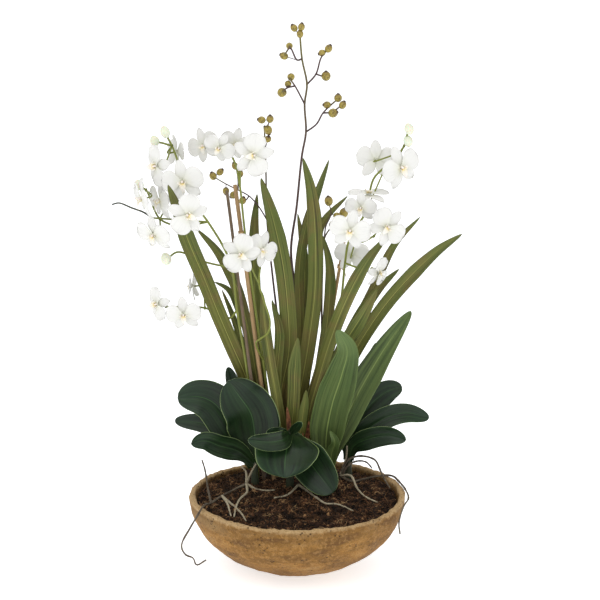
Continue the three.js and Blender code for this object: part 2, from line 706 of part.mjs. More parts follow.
// Berry sprays: the first line is the stem from the soil, the others are its twigs, and each berry is
// [across, down, length, width] at the depth of the nearest twig.
const BERRY_SPRAYS = {
  berry_spray_tall: {
    foot: [-8, 142, 3],
    thick: [2.7, 1.5],
    lines: [
      [
        [291, 400, 142], [290, 340, 142], [295, 296, 140], [291, 250, 134], [296.6, 207, 120],
        [302, 155, 104], [306, 132, 98], [304.6, 104, 90], [307, 84.5, 84], [302, 59, 76], [300, 36, 70],
      ],
      [[295, 296, 140], [299, 304, 146], [303, 300, 148]],
      [[302, 62, 78], [297, 60, 70], [290, 48, 58], [284.5, 55, 50]],
      [[307, 84.5, 84], [316, 74, 92], [321, 58, 100], [327, 50, 106]],
      [[316, 74, 92], [322, 76, 96], [326, 76, 98]],
      [[304.6, 101, 90], [295, 86, 78], [290, 79, 70]],
      [[295, 86, 78], [287, 88, 68], [282, 92, 62]],
      [[306, 132, 98], [316.6, 124, 108], [323, 113, 116], [332, 104, 124], [338, 99, 128]],
      [[323, 113, 116], [332, 112, 112], [342, 105, 116]],
    ],
    berries: [
      [300, 34, 13, 11], [294, 28, 13, 11], [301.4, 27, 13, 11], [289.4, 46, 13, 11], [284, 56, 14, 12],
      [328.5, 48.6, 14, 12], [322, 53, 12, 11], [326, 76, 16, 15], [291, 77, 13, 12], [282, 92.5, 16, 15],
      [327, 105, 13, 12], [338, 98, 14, 13], [342.6, 105, 14, 12], [333, 113, 16, 15], [288, 84, 12, 11],
    ],
  },
  berry_spray_left: {
    foot: [-26, 134, 3],
    thick: [2.4, 1.2],
    lines: [
      [
        [284, 400, 134], [280, 340, 132], [273, 280, 130], [267, 220, 128],
        [266, 175, 124], [265.4, 148, 118], [264, 126, 112],
      ],
      [[266.5, 212, 128], [259, 207, 122], [249, 196, 112], [238, 190, 104], [226, 184, 98], [214, 177, 92]],
      [[238, 190, 104], [238, 180, 106], [236, 167, 108]],
      [[249, 196, 112], [246, 200, 108], [242, 201, 104]],
      [[264, 130, 114], [267, 126, 108], [270, 120, 104]],
    ],
    berries: [
      [261.6, 120, 13, 12], [270, 119, 13, 12], [268, 130, 16, 14], [268, 139, 12, 11],
      [242.6, 200.5, 13, 12], [233.5, 195, 13, 12], [226, 191, 13, 11], [213, 176, 14, 12],
      [220, 172, 13, 11], [235, 166, 13, 11],
      [240, 174, 13, 11],
    ],
  },
  berry_spray_right: {
    foot: [46, 140, 3],
    thick: [2.2, 1.2],
    lines: [
      [
        [325, 400, 144], [322, 340, 146], [322, 290, 146], [324, 240, 144],
        [329, 230, 140], [337, 221, 138], [343, 215, 138],
      ],
      [[324, 240, 144], [326, 226, 134], [331, 214, 126], [329, 203, 124]],
    ],
    berries: [[328.6, 201, 17, 14], [343.7, 213, 17, 15], [333, 224, 13, 12], [337, 216, 13, 12]],
  },
};

function makeBerrySpray(name, { foot, thick, lines, berries }) {
  const main = throughLine([crownOf(foot), ...lines[0].map((at) => place(...at))]);
  const twigs = [main];
  lines.slice(1).forEach((line) => {
    const points = line.map((at) => place(...at));
    twigs.push(throughLine([nearest(twigs.flat(), points[0]), ...points.slice(1)]));
  });
  const joints = twigs.flat();
  const fruits = berries.flatMap(([across, down, length, width]) => {
    const depth = nearest(joints, place(across, down, joints[joints.length - 1].point.y)).y;
    const centre = place(across, down, depth);
    const from = nearest(joints, centre);
    const axis = centre.clone().sub(from).add(new THREE.Vector3(0, 0, 2));
    const fruit = egg(centre, axis, length, width, 5, 3);
    if (from.distanceTo(centre) < width * 0.42) return [fruit];
    return [fruit, rod(smoothLine([from, centre], 1), () => 0.9, 3)];
  });
  const [low, high] = thick;
  const rods = twigs.map((line, k) => {
    if (k) return rod(line, () => high, 3);
    return rod(line, (share) => low + (high - low) * share, 4);
  });
  addNode(name, fuse([footPeg(foot), ...rods, ...fruits]), COLOURS.berry, 0.5);
}

// Bamboo stakes stand straight and slightly leaning: [foot x, foot y], the top's place, and the radius.
const STAKES = {
  stake_dark: { foot: [-52, 76], top: [227, 191, 44], radius: 2.9 },
  stake_pale: { foot: [-36, 80], top: [235, 185, 50], radius: 3.6 },
  stake_right: { foot: [10, 134], top: [344, 242, 124], radius: 3 },
};

function stakeRod({ foot: [x, y], top, radius }, grown) {
  const bottom = new THREE.Vector3(x, y, SOIL.crown - PEG_DEPTH);
  const high = place(...top);
  const along = high.clone().sub(bottom).normalize();
  bottom.addScaledVector(along, -grown);
  return rod([{ share: 0, point: bottom, along }, { share: 1, point: high, along }], () => radius + grown, 6);
}

// A raffia tie: a snug band round a stake at a share of its height, with two loose ends.
const TIES = {
  raffia_tie_left: { stake: "stake_pale", share: 0.85, ends: [[249, 243, 44], [240, 246, 40]] },
  raffia_tie_right: { stake: "stake_right", share: 0.9, ends: [[346, 277, 112], [338, 272, 114]] },
};

function makeTie(name, { stake, share, ends }) {
  const { foot, top, radius } = STAKES[stake];
  const low = new THREE.Vector3(...foot, SOIL.crown - PEG_DEPTH);
  const high = place(...top);
  const along = high.clone().sub(low).normalize();
  const middle = low.clone().lerp(high, share);
  const stretch = (half) =>
    [-half, half].map((offset, share) => {
      const point = middle.clone().addScaledVector(along, offset);
      return { share, point, along };
    });
  const strands = ends.map((end) => {
    const start = middle.clone().add(new THREE.Vector3(0, -radius - 1.4, 0));
    return rod(smoothLine([start, place(...end)], 2), () => 1, 3);
  });
  const band = rod(stretch(3.5), () => radius + 2, 6);
  const hole = rod(stretch(12), () => radius + CLEAR, 6);
  addNode(name, cut(fuse([band, ...strands]), [hole]), COLOURS.raffia, 0.8);
}

// Bare roots lie on the soil, or on the rim, where a place has no depth, and hang free where it has one.
// The first line of each set starts at the set's foot and the others at the nearest point of it.
const ROOTS = {
  roots_left: {
    foot: [-84, 36, 4],
    lines: [
      [
        [236, 489], [222, 496], [211, 503], [203, 506.5, -88], [196, 518, -104], [189.5, 529, -112],
        [182, 543, -118], [182, 549, -116], [186, 555, -113], [193, 558, -109], [196.6, 565, -106],
        [206, 560, -98],
      ],
      [[247, 486], [256, 489], [266, 490.5], [275, 490]],
      [[247, 484], [247, 492], [240, 499], [236, 507], [234, 517]],
      [[238, 503], [241, 513], [246, 521]],
      [[247, 480, 36], [246, 472, 38], [241, 466, 36]],
      [[247, 480, 36], [252, 471, 28], [256, 464, 24]],
      [[222, 496], [227, 503], [231, 516]],
      [[212, 503], [208, 489, 8], [205, 470, 12], [202, 460, 12]],
    ],
  },
  roots_front: {
    foot: [2, 30, 4],
    lines: [
      [[306, 490], [317, 498], [326, 503.5], [336, 504], [345, 507], [353, 511]],
      [[297, 488], [287, 495], [274, 498]],
    ],
  },
  roots_right: {
    foot: [72, 76, 4],
    lines: [
      [
        [351, 481], [365, 479], [378, 476], [391, 475.5, 78], [399.5, 482, 44], [406, 490.5, 0],
        [408.5, 498, -30], [403, 508, -72], [399, 523, -84], [400, 534, -88],
      ],
      [[344, 463, 70], [351, 476, 52], [357, 488], [366, 497], [377.5, 502.5]],
      [[341, 470, 76], [350, 464, 70], [358, 461, 74], [366, 462, 70], [372, 468, 64]],
      [
        [341, 470, 76], [348, 460, 72], [361, 456, 66], [375, 460, 58],
        [380, 469.5, 52], [385, 480, 44], [390, 488],
      ],
      [[341, 470, 76], [346, 458, 74], [347, 446, 70]],
    ],
  },
};
const RIM_REACH = 150;

function rootPlace([across, down, depth]) {
  if (depth !== undefined) return place(across, down, depth);
  const first = placeAtHeight(across, down, SOIL.crown);
  const onRim = Math.hypot(first.x, first.y) > RIM_REACH;
  return placeAtHeight(across, down, onRim ? BOWL.height + 4 : soilHeight(first.x, first.y) + 4);
}

function makeRoots(name, { foot, lines }) {
  const main = throughLine([crownOf(foot), ...lines[0].map(rootPlace)]);
  const others = lines.slice(1).map((line) => {
    const points = line.map(rootPlace);
    return throughLine([nearest(main, points[0]), ...points.slice(1)]);
  });
  const rods = [main, ...others].map((line, k) => rod(line, (share) => 2.3 - 1.1 * share, k ? 3 : 4));
  addNode(name, fuse([footPeg(foot), ...rods]), COLOURS.root, 0.9);
}

makeBowl();
Object.entries(STRAP_CLUMPS).forEach(([name, clump]) => makeStrapClump(name, clump));
makeLanceClump(LANCE_CLUMP);
Object.entries(ROSETTES).forEach(([name, rosette]) => makeRosette(name, rosette));
Object.entries(BLOOMS).forEach(([name, bloom]) => makeBloom(name, bloom));
Object.entries(FLOWER_STEMS).forEach(([name, stem]) => makeFlowerStem(name, stem));
Object.entries(BERRY_SPRAYS).forEach(([name, spray]) => makeBerrySpray(name, spray));
Object.entries(STAKES).forEach(([name, stake]) => addNode(name, stakeRod(stake, 0), COLOURS.bamboo, 0.6));
Object.entries(TIES).forEach(([name, tie]) => makeTie(name, tie));
Object.entries(ROOTS).forEach(([name, roots]) => makeRoots(name, roots));
const plants = [STRAP_CLUMPS, { LANCE_CLUMP }, ROSETTES, FLOWER_STEMS, BERRY_SPRAYS, ROOTS];
makeSoil(plants.flatMap((group) => Object.values(group)).map(({ foot }) => foot));

export default object;
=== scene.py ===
"""The looks of a potted moth orchid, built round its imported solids.

Every solid is replaced by a finer piece of the same form at the same place: leaves with folds and
veins, blooms with waved petals, berries, bamboo, roots, a rough clay bowl and a crumbly filling of
bark and coir. Lengths are worked out in millimetres and go into the meshes in metres.
"""
import math

import bpy
import numpy as np
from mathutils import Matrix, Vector


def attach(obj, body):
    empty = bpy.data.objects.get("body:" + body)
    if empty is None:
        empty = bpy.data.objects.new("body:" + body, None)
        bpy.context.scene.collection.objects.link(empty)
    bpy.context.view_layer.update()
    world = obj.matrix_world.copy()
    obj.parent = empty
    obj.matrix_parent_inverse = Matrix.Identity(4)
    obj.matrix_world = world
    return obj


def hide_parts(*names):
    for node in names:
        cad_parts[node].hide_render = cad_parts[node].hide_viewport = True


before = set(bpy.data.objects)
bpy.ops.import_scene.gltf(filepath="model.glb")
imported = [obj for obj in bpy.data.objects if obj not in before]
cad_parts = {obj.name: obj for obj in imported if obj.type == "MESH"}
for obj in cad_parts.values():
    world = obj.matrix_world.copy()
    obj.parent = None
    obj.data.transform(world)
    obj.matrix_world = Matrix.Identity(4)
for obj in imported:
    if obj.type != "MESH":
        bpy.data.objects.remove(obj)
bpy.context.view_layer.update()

MM = 0.001
SEED = 7

# Driving sizes in millimetres, the solids' own but for the blades, which are thinner here.
# The bowl is cut from a flattened ball whose half height is depth, over a flat foot of radius foot.
BOWL = {"radius": 177, "height": 124, "depth": 128, "foot": 46, "wall": 11, "floor": 12}
# A wave of the rim: how many lie round it, its height and its turn.
RIM_WAVES = [(2, 1.6, 0.6), (5, 0.9, 1.9)]
# The filling's heights at its edge and crown, its gaps to the wall and the floor, its wall's top.
SOIL = {"edge": 113, "crown": 121, "gap": 1, "under": 0.4, "shoulder": 106}
# Pegs reach up to PEG_TOP, a crown lies CROWN_DROP under that, a stem goes STEM_FOOT below its crown.
PEG_TOP = SOIL["crown"] + 9
CROWN_DROP = 3.0
STEM_FOOT = 14.0
# The radius of the stub that lifts a rosette.
STUB = 6.5
# Thicknesses of the blades.
LEAF = 1.6
STRAP = 0.9
PETAL = 0.5
# A bloom's stalk bends and ends so far behind it.
STALK_BEND = 15.0
BLOOM_BACK = 2.7
# A stake's foot lies PEG_DEPTH under the filling's crown, and its knots stand KNOT_STEP apart.
PEG_DEPTH = 26.0
KNOT_STEP = 92
# A root's middle lies ROOT_LIFT over the filling, or over the rim where it is more than RIM_REACH out.
ROOT_LIFT = 4.0
RIM_REACH = 150

# The loose scraps on the filling: how many, how far from the middle, and each one's least and largest
# sizes and its height over the filling.
CHIPS = {"count": 2600, "reach": 160, "sides": [(2, 6), (1.2, 3), (0.5, 1.3)], "over": (-0.6, 1.0)}
FIBRES = {"count": 6500, "reach": 163, "length": (4, 15), "radius": (0.25, 0.55), "over": (-0.8, 2.4)}

# Unevenness of a surface, as layers of waves: height and length in millimetres, how many waves, seed.
CLAY_LUMPS = [(0.5, 46, 14, 1), (0.26, 15, 18, 2)]
RIM_WEAR = [(0.55, 13, 16, 3), (0.4, 6, 16, 4)]
SOIL_GRAIN = [(1.3, 20, 20, 8), (1.2, 10, 24, 5), (0.9, 4.5, 24, 6)]

# How a round piece thins: its first radius, and what it loses over its length, in millimetres.
THIN = {
    "stem": (2.5, 0.9),
    "branch": (1.7, 0.1),
    "twig_foot": (1.5, 0),
    "twig": (1.6, 0.4),
    "berry_stalk": (0.7, 0),
    "straw_end": (0.95, 0.35),
    "lip_thread": (0.35, 0.15),
}

# Length and width of the small round parts, in millimetres.
ROUND = {
    "hub": (4.2, 6.6),
    "callus": (3.2, 4.0),
    "column": (7.0, 3.8),
    "stalk_joint": (6.5, 4.6),
    "calyx": (3.2, 4.8),
    "straw_knot": (4.4, 3.2),
}

# The layout is drawn as the front shows it: a place is (across, down) in a picture 600 wide and 600
# high, with a depth in millimetres behind the bowl's centre. The camera stands at the same eye.
VIEW = {"tilt": math.radians(14.5), "distance": 3500, "focal": 2187.5, "middle": 300, "picture": 600}
AIM = np.array([4.8, 0.0, 450.0])
FORWARD = np.array([0.0, math.cos(VIEW["tilt"]), -math.sin(VIEW["tilt"])])
RISE = np.array([0.0, math.sin(VIEW["tilt"]), math.cos(VIEW["tilt"])])
EYE = AIM - VIEW["distance"] * FORWARD
SENSOR = 36.0

# A foot is the place and the radius of a peg in the soil, in millimetres. A leaf has its places up
# from the crown, the depth of its far end and its width. Where it has them, face turns its blade by
# so many degrees, fold cups it, and ease is the power by which its depth grows. Dry bracts at a
# clump's foot have their places up from the crown, and their width.
STRAP_CLUMPS = {
  "strap_leaves_left": {
    "foot": [-46, 96, 7],
    "leaves": [
      {
        "at": [[247.6, 382], [231.5, 344], [217, 310], [205, 280], [188, 240], [177, 208], [168, 185]],
        "far": -98, "ease": 2.4, "width": 26,
      },
      {"at": [[256, 400], [247, 362], [236, 326], [222, 290]], "far": 80, "width": 12, "face": 25},
      {
        "at": [[257, 380], [246, 320], [236, 285], [218, 252], [197, 229]],
        "far": 100, "width": 19, "face": -15,
      },
      {
        "at": [[262, 385], [250, 340], [238, 308], [228, 290], [214.6, 282]],
        "far": 130, "width": 17, "face": 30,
      },
      {"at": [[257, 395], [255.5, 350], [250, 312]], "far": 118, "width": 9, "face": 10},
      {
        "at": [[262, 400], [258, 340], [254, 280], [254, 225], [257, 194]],
        "far": 125, "width": 21, "face": 20,
      },
    ],
  },
  "strap_leaves_centre": {
    "foot": [-12, 98, 8],
    "leaves": [
      {
        "at": [[281, 400], [289, 350], [288, 310], [283, 265], [274, 222], [261, 178]],
        "far": 40, "width": 28, "face": -10,
      },
      {
        "at": [[299, 400], [309, 340], [315, 290], [315, 230], [311, 190], [303, 158]],
        "far": 60, "width": 25, "fold": 0.3,
      },
      {
        "at": [[297, 400], [300, 320], [299, 268], [306, 225], [318, 190], [329, 160]],
        "far": 175, "width": 19, "face": 30,
      },
      {
        "at": [[303, 400], [311, 330], [314, 270], [322, 225], [347.5, 196]],
        "far": 190, "width": 17, "face": -20,
      },
      {"at": [[296, 400], [303, 330], [304, 260], [297.7, 213.5]], "far": 205, "width": 16, "face": 15},
    ],
  },
  "strap_leaves_right": {
    "foot": [30, 84, 8],
    "leaves": [
      {
        "at": [[310, 428], [321, 362], [328.5, 310], [329.5, 268], [323, 236]],
        "far": 120, "width": 19, "face": 15,
      },
      {
        "at": [[308, 424], [320.5, 372], [337, 322], [354.5, 283], [370, 257], [388.5, 235]],
        "far": -18, "width": 22, "fold": 0.3,
      },
      {
        "at": [[318, 420], [345, 345], [372, 290], [394, 245], [420, 217]],
        "far": 170, "width": 15, "face": 15,
      },
      {
        "at": [[314, 424], [340, 352], [364, 312], [377, 289]],
        "far": 20, "width": 25, "face": 20, "fold": 0.4,
      },
      {"at": [[317, 418], [352, 330], [378, 290], [399, 269]], "far": 130, "width": 19, "face": -10},
      {
        "at": [[325, 420], [350, 360], [380, 312], [405, 282], [436, 252], [462, 234]],
        "far": 50, "width": 23, "fold": 0.15,
      },
    ],
  },
  "strap_leaves_front": {
    "bracts": [
      ([[289, 440], [288, 424], [287, 407]], 8),
      ([[300, 446], [306, 438], [309, 421]], 8),
      ([[296, 450], [301, 442], [303, 433]], 6),
    ],
    "foot": [-12, 66, 6],
    "leaves": [
      {"at": [[291, 440], [294, 400], [295, 370], [298, 338]], "far": 48, "width": 22, "face": -15},
      {
        "at": [[282, 430], [276, 395], [269, 355], [264, 318], [262, 292]],
        "far": 46, "width": 18, "face": 10,
      },
      {"at": [[299, 440], [303.5, 410], [306, 390]], "far": 30, "width": 16, "face": 20},
      {"at": [[281, 428], [277, 380], [280, 330], [272, 300]], "far": 70, "width": 18, "face": -25},
    ],
  },
}

LANCE_CLUMP = {
  "foot": [52, 62, 7],
  "leaves": [
    {"at": [[326, 440], [332, 405], [342, 374], [347, 350], [337, 330]], "far": 0, "width": 58, "fold": 0.2},
    {"at": [[334, 446], [352, 405], [376, 362], [393, 336], [411, 311]], "far": 120, "width": 46, "face": 8},
    {"at": [[336, 448], [352, 400], [364, 368], [375.6, 343]], "far": 112, "width": 14, "face": -30},
    {"at": [[332, 452], [335, 442], [330, 431]], "far": 30, "width": 18, "face": 10},
  ],
}

# Orchid leaves; each row of places starts at the crown, which stands a rise above the soil.
ROSETTES = {
  "orchid_leaves_left": {
    "foot": [-70, 56, 9],
    "rise": 26,
    "leaves": [
      {"at": [[240, 440], [215, 404], [200, 397], [177.5, 398]], "far": 66, "width": 72},
      {"at": [[255, 440], [251, 414], [239, 396], [228, 381]], "far": 50, "width": 90},
      {"at": [[244, 430], [235, 390], [228, 367]], "far": 112, "width": 30},
      {"at": [[240, 452], [220, 446], [205, 441], [191, 444]], "far": 10, "width": 38},
      {"at": [[235, 440], [205, 424], [175, 420.5]], "far": 100, "width": 34},
    ],
  },
  "orchid_leaves_front": {
    "foot": [-12, 34, 9],
    "rise": 88,
    "leaves": [
      {"at": [[287, 448], [285, 462], [285, 478]], "far": -44, "width": 106, "ease": 0.7},
      {"at": [[302, 452], [317, 472], [333, 493]], "far": -22, "width": 66},
      {"at": [[282, 440], [268, 442], [248, 440]], "far": -46, "width": 32, "ease": 0.4},
      {"at": [[294, 429.5], [302, 422]], "far": 8, "width": 15},
      {"at": [[280, 431.5], [266, 432]], "far": 6, "width": 15},
    ],
  },
  "orchid_leaves_right": {
    "foot": [86, 92, 9],
    "rise": 22,
    "leaves": [
      {"at": [[352, 430], [372, 403], [388, 391], [402, 387]], "far": 150, "width": 50},
      {"at": [[356, 440], [385, 418], [406, 413], [429, 418]], "far": 96, "width": 38},
      {"at": [[354, 446], [372, 438], [390, 436], [406, 440]], "far": 50, "width": 36},
      {"at": [[348, 440], [345, 418], [350, 400]], "far": 160, "width": 40},
    ],
  },
}

# A bloom is (across, down, depth), the way that it faces (azimuth to the right of the front,
# elevation), its roll and its size as a share of the tepals' own.
BLOOMS = {
  "left_1": {"at": [156, 166, -25], "faces": [-52, 0], "roll": 75, "size": 0.95},
  "left_2": {"at": [176, 152, 12], "faces": [120, 0], "roll": 0, "size": 0.8},
  "left_3": {"at": [183, 182, -55], "faces": [-12, -5], "roll": -12, "size": 1},
  "left_4": {"at": [142, 199, -24], "faces": [-70, -10], "roll": 10, "size": 1},
  "left_5": {"at": [160, 201, -8], "faces": [-60, 0], "roll": 0, "size": 0.95},
  "left_6": {"at": [188, 215, -98], "faces": [5, 0], "roll": -68, "size": 0.95},
  "left_7": {"at": [154, 235, -12], "faces": [-35, -20], "roll": 0, "size": 0.95},
  "left_8": {"at": [193, 286, 64], "faces": [-100, 0], "roll": 0, "size": 0.75},
  "left_9": {"at": [157, 304, 18], "faces": [-45, 0], "roll": 70, "size": 0.8},
  "left_10": {"at": [184, 315, -6], "faces": [-8, -5], "roll": -8, "size": 0.85},
  "middle_1": {"at": [204, 146, 18], "faces": [-30, 0], "roll": -25, "size": 0.85},
  "middle_2": {"at": [219, 148, -4], "faces": [-10, -10], "roll": 30, "size": 0.75},
  "middle_3": {"at": [235, 144, 12], "faces": [15, 5], "roll": 20, "size": 0.75},
  "middle_4": {"at": [253, 155, -18], "faces": [12, 0], "roll": 84, "size": 1},
  "middle_5": {"at": [241, 254, -34], "faces": [-12, 0], "roll": -62, "size": 0.95},
  "middle_6": {"at": [261, 250, -12], "faces": [40, 0], "roll": 30, "size": 0.9},
  "right_1": {"at": [376, 160, 46], "faces": [165, 0], "roll": 0, "size": 0.95},
  "right_2": {"at": [401, 168, -6], "faces": [35, 0], "roll": -20, "size": 1.05},
  "right_3": {"at": [369, 194, 3], "faces": [8, 84], "roll": 0, "size": 0.95},
  "right_4": {"at": [361, 208, -34], "faces": [-15, -8], "roll": 0, "size": 0.75},
  "right_5": {"at": [350, 231, -64], "faces": [-5, 0], "roll": 12, "size": 0.95},
  "right_6": {"at": [387, 227, -44], "faces": [20, 0], "roll": 50, "size": 0.95},
  "right_7": {"at": [352, 255, 106], "faces": [170, 5], "roll": 0, "size": 0.85},
  "right_8": {"at": [379, 272, 48], "faces": [55, -20], "roll": 60, "size": 0.8},
}

# Tepals of a moth orchid: angle, length, width, height above the disc, backward bend.
TEPALS = [
  [14, 35, 36, 1.4, -1.5],
  [90, 35, 20, -1.3, -3.5],
  [166, 35, 36, 1.4, -1.5],
  [231, 33, 20, -1.3, -5],
  [309, 33, 20, -1.3, -5],
]

# Flower stems: the first line climbs from the foot, the others leave it at its nearest point. Each
# bloom is (name, line, share of the line where its stalk starts), a bud is (place, length, width), and
# twig is the number of a line that is a dry twig.
FLOWER_STEMS = {
  "flower_stem_left": {
    "foot": [-66, 82, 3],
    "twig": 5,
    "lines": [
      [
        [254, 420, 76], [245.5, 360, 66], [237, 310, 58], [232, 268, 46], [224, 248, 24],
        [208, 222, -10], [196, 205, -36], [182, 172, -30], [172, 146, 0], [165, 133, -10],
      ],
      [[208, 222, -10], [180, 226, 20], [160, 219, 26], [146, 190, 28], [140, 187, 22]],
      [[232, 268, 46], [205, 262, 50], [178, 252, 30], [167, 259, 14]],
      [[238, 314, 58], [230, 318, 62], [218, 313, 66], [205, 308, 64], [184.5, 307, 30], [166, 306.5, 26]],
      [[172, 146, 0], [162, 143, 4], [155, 142, 2]],
      [[160, 219, 26], [152.6, 218, 22], [143, 212, 18], [132, 208, 14], [119, 203, 8], [112, 204.5, 4]],
    ],
    "blooms": [
      ["left_1", 0, 0.9], ["left_2", 0, 0.93], ["left_3", 0, 0.84], ["left_6", 0, 0.72],
      ["left_4", 1, 0.8], ["left_5", 1, 0.62], ["left_7", 1, 0.5],
      ["left_8", 3, 0.62], ["left_9", 3, 1], ["left_10", 3, 0.8],
    ],
    "buds": [
      [[165, 132, -14], 20, 15], [[154.5, 141, 2], 18, 15],
      [[139, 185, 20], 18, 15], [[166, 259, 10], 21, 17],
    ],
  },
  "flower_stem_middle": {
    "foot": [-20, 84, 3],
    "lines": [
      [
        [272, 420, 80], [263, 360, 70], [254, 300, 62], [247, 250, 54], [243.5, 220, 48],
        [240, 187, 42], [235, 163, 34], [228, 152, 30], [216, 147, 34],
      ],
      [
        [260, 345, 68], [256, 343, 52], [260, 339, 42], [268, 333, 34],
        [270, 322, 30], [264, 301, 18], [259, 284, 8], [260, 268, 2],
      ],
      [[240, 187, 42], [241, 168, 34], [248, 162, 20]],
    ],
    "blooms": [
      ["middle_1", 0, 1], ["middle_2", 0, 0.96], ["middle_3", 0, 0.9], ["middle_4", 2, 0.8],
      ["middle_5", 1, 0.9], ["middle_6", 1, 1],
    ],
    "buds": [],
  },
  "flower_stem_right": {
    "foot": [26, 124, 3],
    "lines": [
      [
        [318, 420, 126], [330, 350, 124], [341, 300, 112], [345, 263, 92], [349, 240.5, 62],
        [360, 222, 36], [366, 212, 32], [369, 196, 38], [374, 178, 30],
        [386, 166, 26], [399, 153, 16], [404, 146, 10], [408, 131, 4],
      ],
      [[349, 240.5, 62], [362, 242, 40], [374, 236, 10]],
      [[345, 263, 92], [358, 268, 80], [370, 272, 62]],
    ],
    "blooms": [
      ["right_1", 0, 0.88], ["right_2", 0, 0.92], ["right_3", 0, 0.8], ["right_4", 0, 0.54],
      ["right_5", 0, 0.42], ["right_6", 1, 1], ["right_7", 0, 0.62], ["right_8", 2, 0.9],
    ],
    "buds": [[[408, 141, 8], 19, 15], [[409, 129, 4], 19, 15]],
  },
}

# Berry sprays: the first line is the stem, the others its twigs, a berry is (across, down, length,
# width) at the depth of the nearest twig.
BERRY_SPRAYS = {
  "berry_spray_tall": {
    "foot": [-8, 142, 3],
    "thick": [2.7, 1.5],
    "lines": [
      [
        [291, 400, 142], [290, 340, 142], [295, 296, 140], [291, 250, 134], [296.6, 207, 120],
        [302, 155, 104], [306, 132, 98], [304.6, 104, 90], [307, 84.5, 84], [302, 59, 76], [300, 36, 70],
      ],
      [[295, 296, 140], [299, 304, 146], [303, 300, 148]],
      [[302, 62, 78], [297, 60, 70], [290, 48, 58], [284.5, 55, 50]],
      [[307, 84.5, 84], [316, 74, 92], [321, 58, 100], [327, 50, 106]],
      [[316, 74, 92], [322, 76, 96], [326, 76, 98]],
      [[304.6, 101, 90], [295, 86, 78], [290, 79, 70]],
      [[295, 86, 78], [287, 88, 68], [282, 92, 62]],
      [[306, 132, 98], [316.6, 124, 108], [323, 113, 116], [332, 104, 124], [338, 99, 128]],
      [[323, 113, 116], [332, 112, 112], [342, 105, 116]],
    ],
    "berries": [
      [300, 34, 13, 11], [294, 28, 13, 11], [301.4, 27, 13, 11], [289.4, 46, 13, 11], [284, 56, 14, 12],
      [328.5, 48.6, 14, 12], [322, 53, 12, 11], [326, 76, 16, 15], [291, 77, 13, 12], [282, 92.5, 16, 15],
      [327, 105, 13, 12], [338, 98, 14, 13], [342.6, 105, 14, 12], [333, 113, 16, 15], [288, 84, 12, 11],
    ],
  },
  "berry_spray_left": {
    "foot": [-26, 134, 3],
    "thick": [2.4, 1.2],
    "lines": [
      [
        [284, 400, 134], [280, 340, 132], [273, 280, 130], [267, 220, 128],
        [266, 175, 124], [265.4, 148, 118], [264, 126, 112],
      ],
      [[266.5, 212, 128], [259, 207, 122], [249, 196, 112], [238, 190, 104], [226, 184, 98], [214, 177, 92]],
      [[238, 190, 104], [238, 180, 106], [236, 167, 108]],
      [[249, 196, 112], [246, 200, 108], [242, 201, 104]],
      [[264, 130, 114], [267, 126, 108], [270, 120, 104]],
    ],
    "berries": [
      [261.6, 120, 13, 12], [270, 119, 13, 12], [268, 130, 16, 14], [268, 139, 12, 11],
      [242.6, 200.5, 13, 12], [233.5, 195, 13, 12], [226, 191, 13, 11], [213, 176, 14, 12],
      [220, 172, 13, 11], [235, 166, 13, 11],
      [240, 174, 13, 11],
    ],
  },
  "berry_spray_right": {
    "foot": [46, 140, 3],
    "thick": [2.2, 1.2],
    "lines": [
      [
        [325, 400, 144], [322, 340, 146], [322, 290, 146], [324, 240, 144],
        [329, 230, 140], [337, 221, 138], [343, 215, 138],
      ],
      [[324, 240, 144], [326, 226, 134], [331, 214, 126], [329, 203, 124]],
    ],
    "berries": [[328.6, 201, 17, 14], [343.7, 213, 17, 15], [333, 224, 13, 12], [337, 216, 13, 12]],
  },
}

# Bamboo stakes: foot, the top's place, the radius, and a tone from pale to dark.
STAKES = {
  "stake_dark": {"foot": [-52, 76], "top": [227, 191, 44], "radius": 2.9, "tone": 1.0},
  "stake_pale": {"foot": [-36, 80], "top": [235, 185, 50], "radius": 3.6, "tone": -0.6},
  "stake_right": {"foot": [10, 134], "top": [344, 242, 124], "radius": 3, "tone": -0.8},
}

# Raffia ties: the stake, the share of its height, and the two loose ends.
TIES = {
  "raffia_tie_left": {"stake": "stake_pale", "share": 0.85, "ends": [[249, 243, 44], [240, 246, 40]]},
  "raffia_tie_right": {"stake": "stake_right", "share": 0.9, "ends": [[346, 277, 112], [338, 272, 114]]},
}

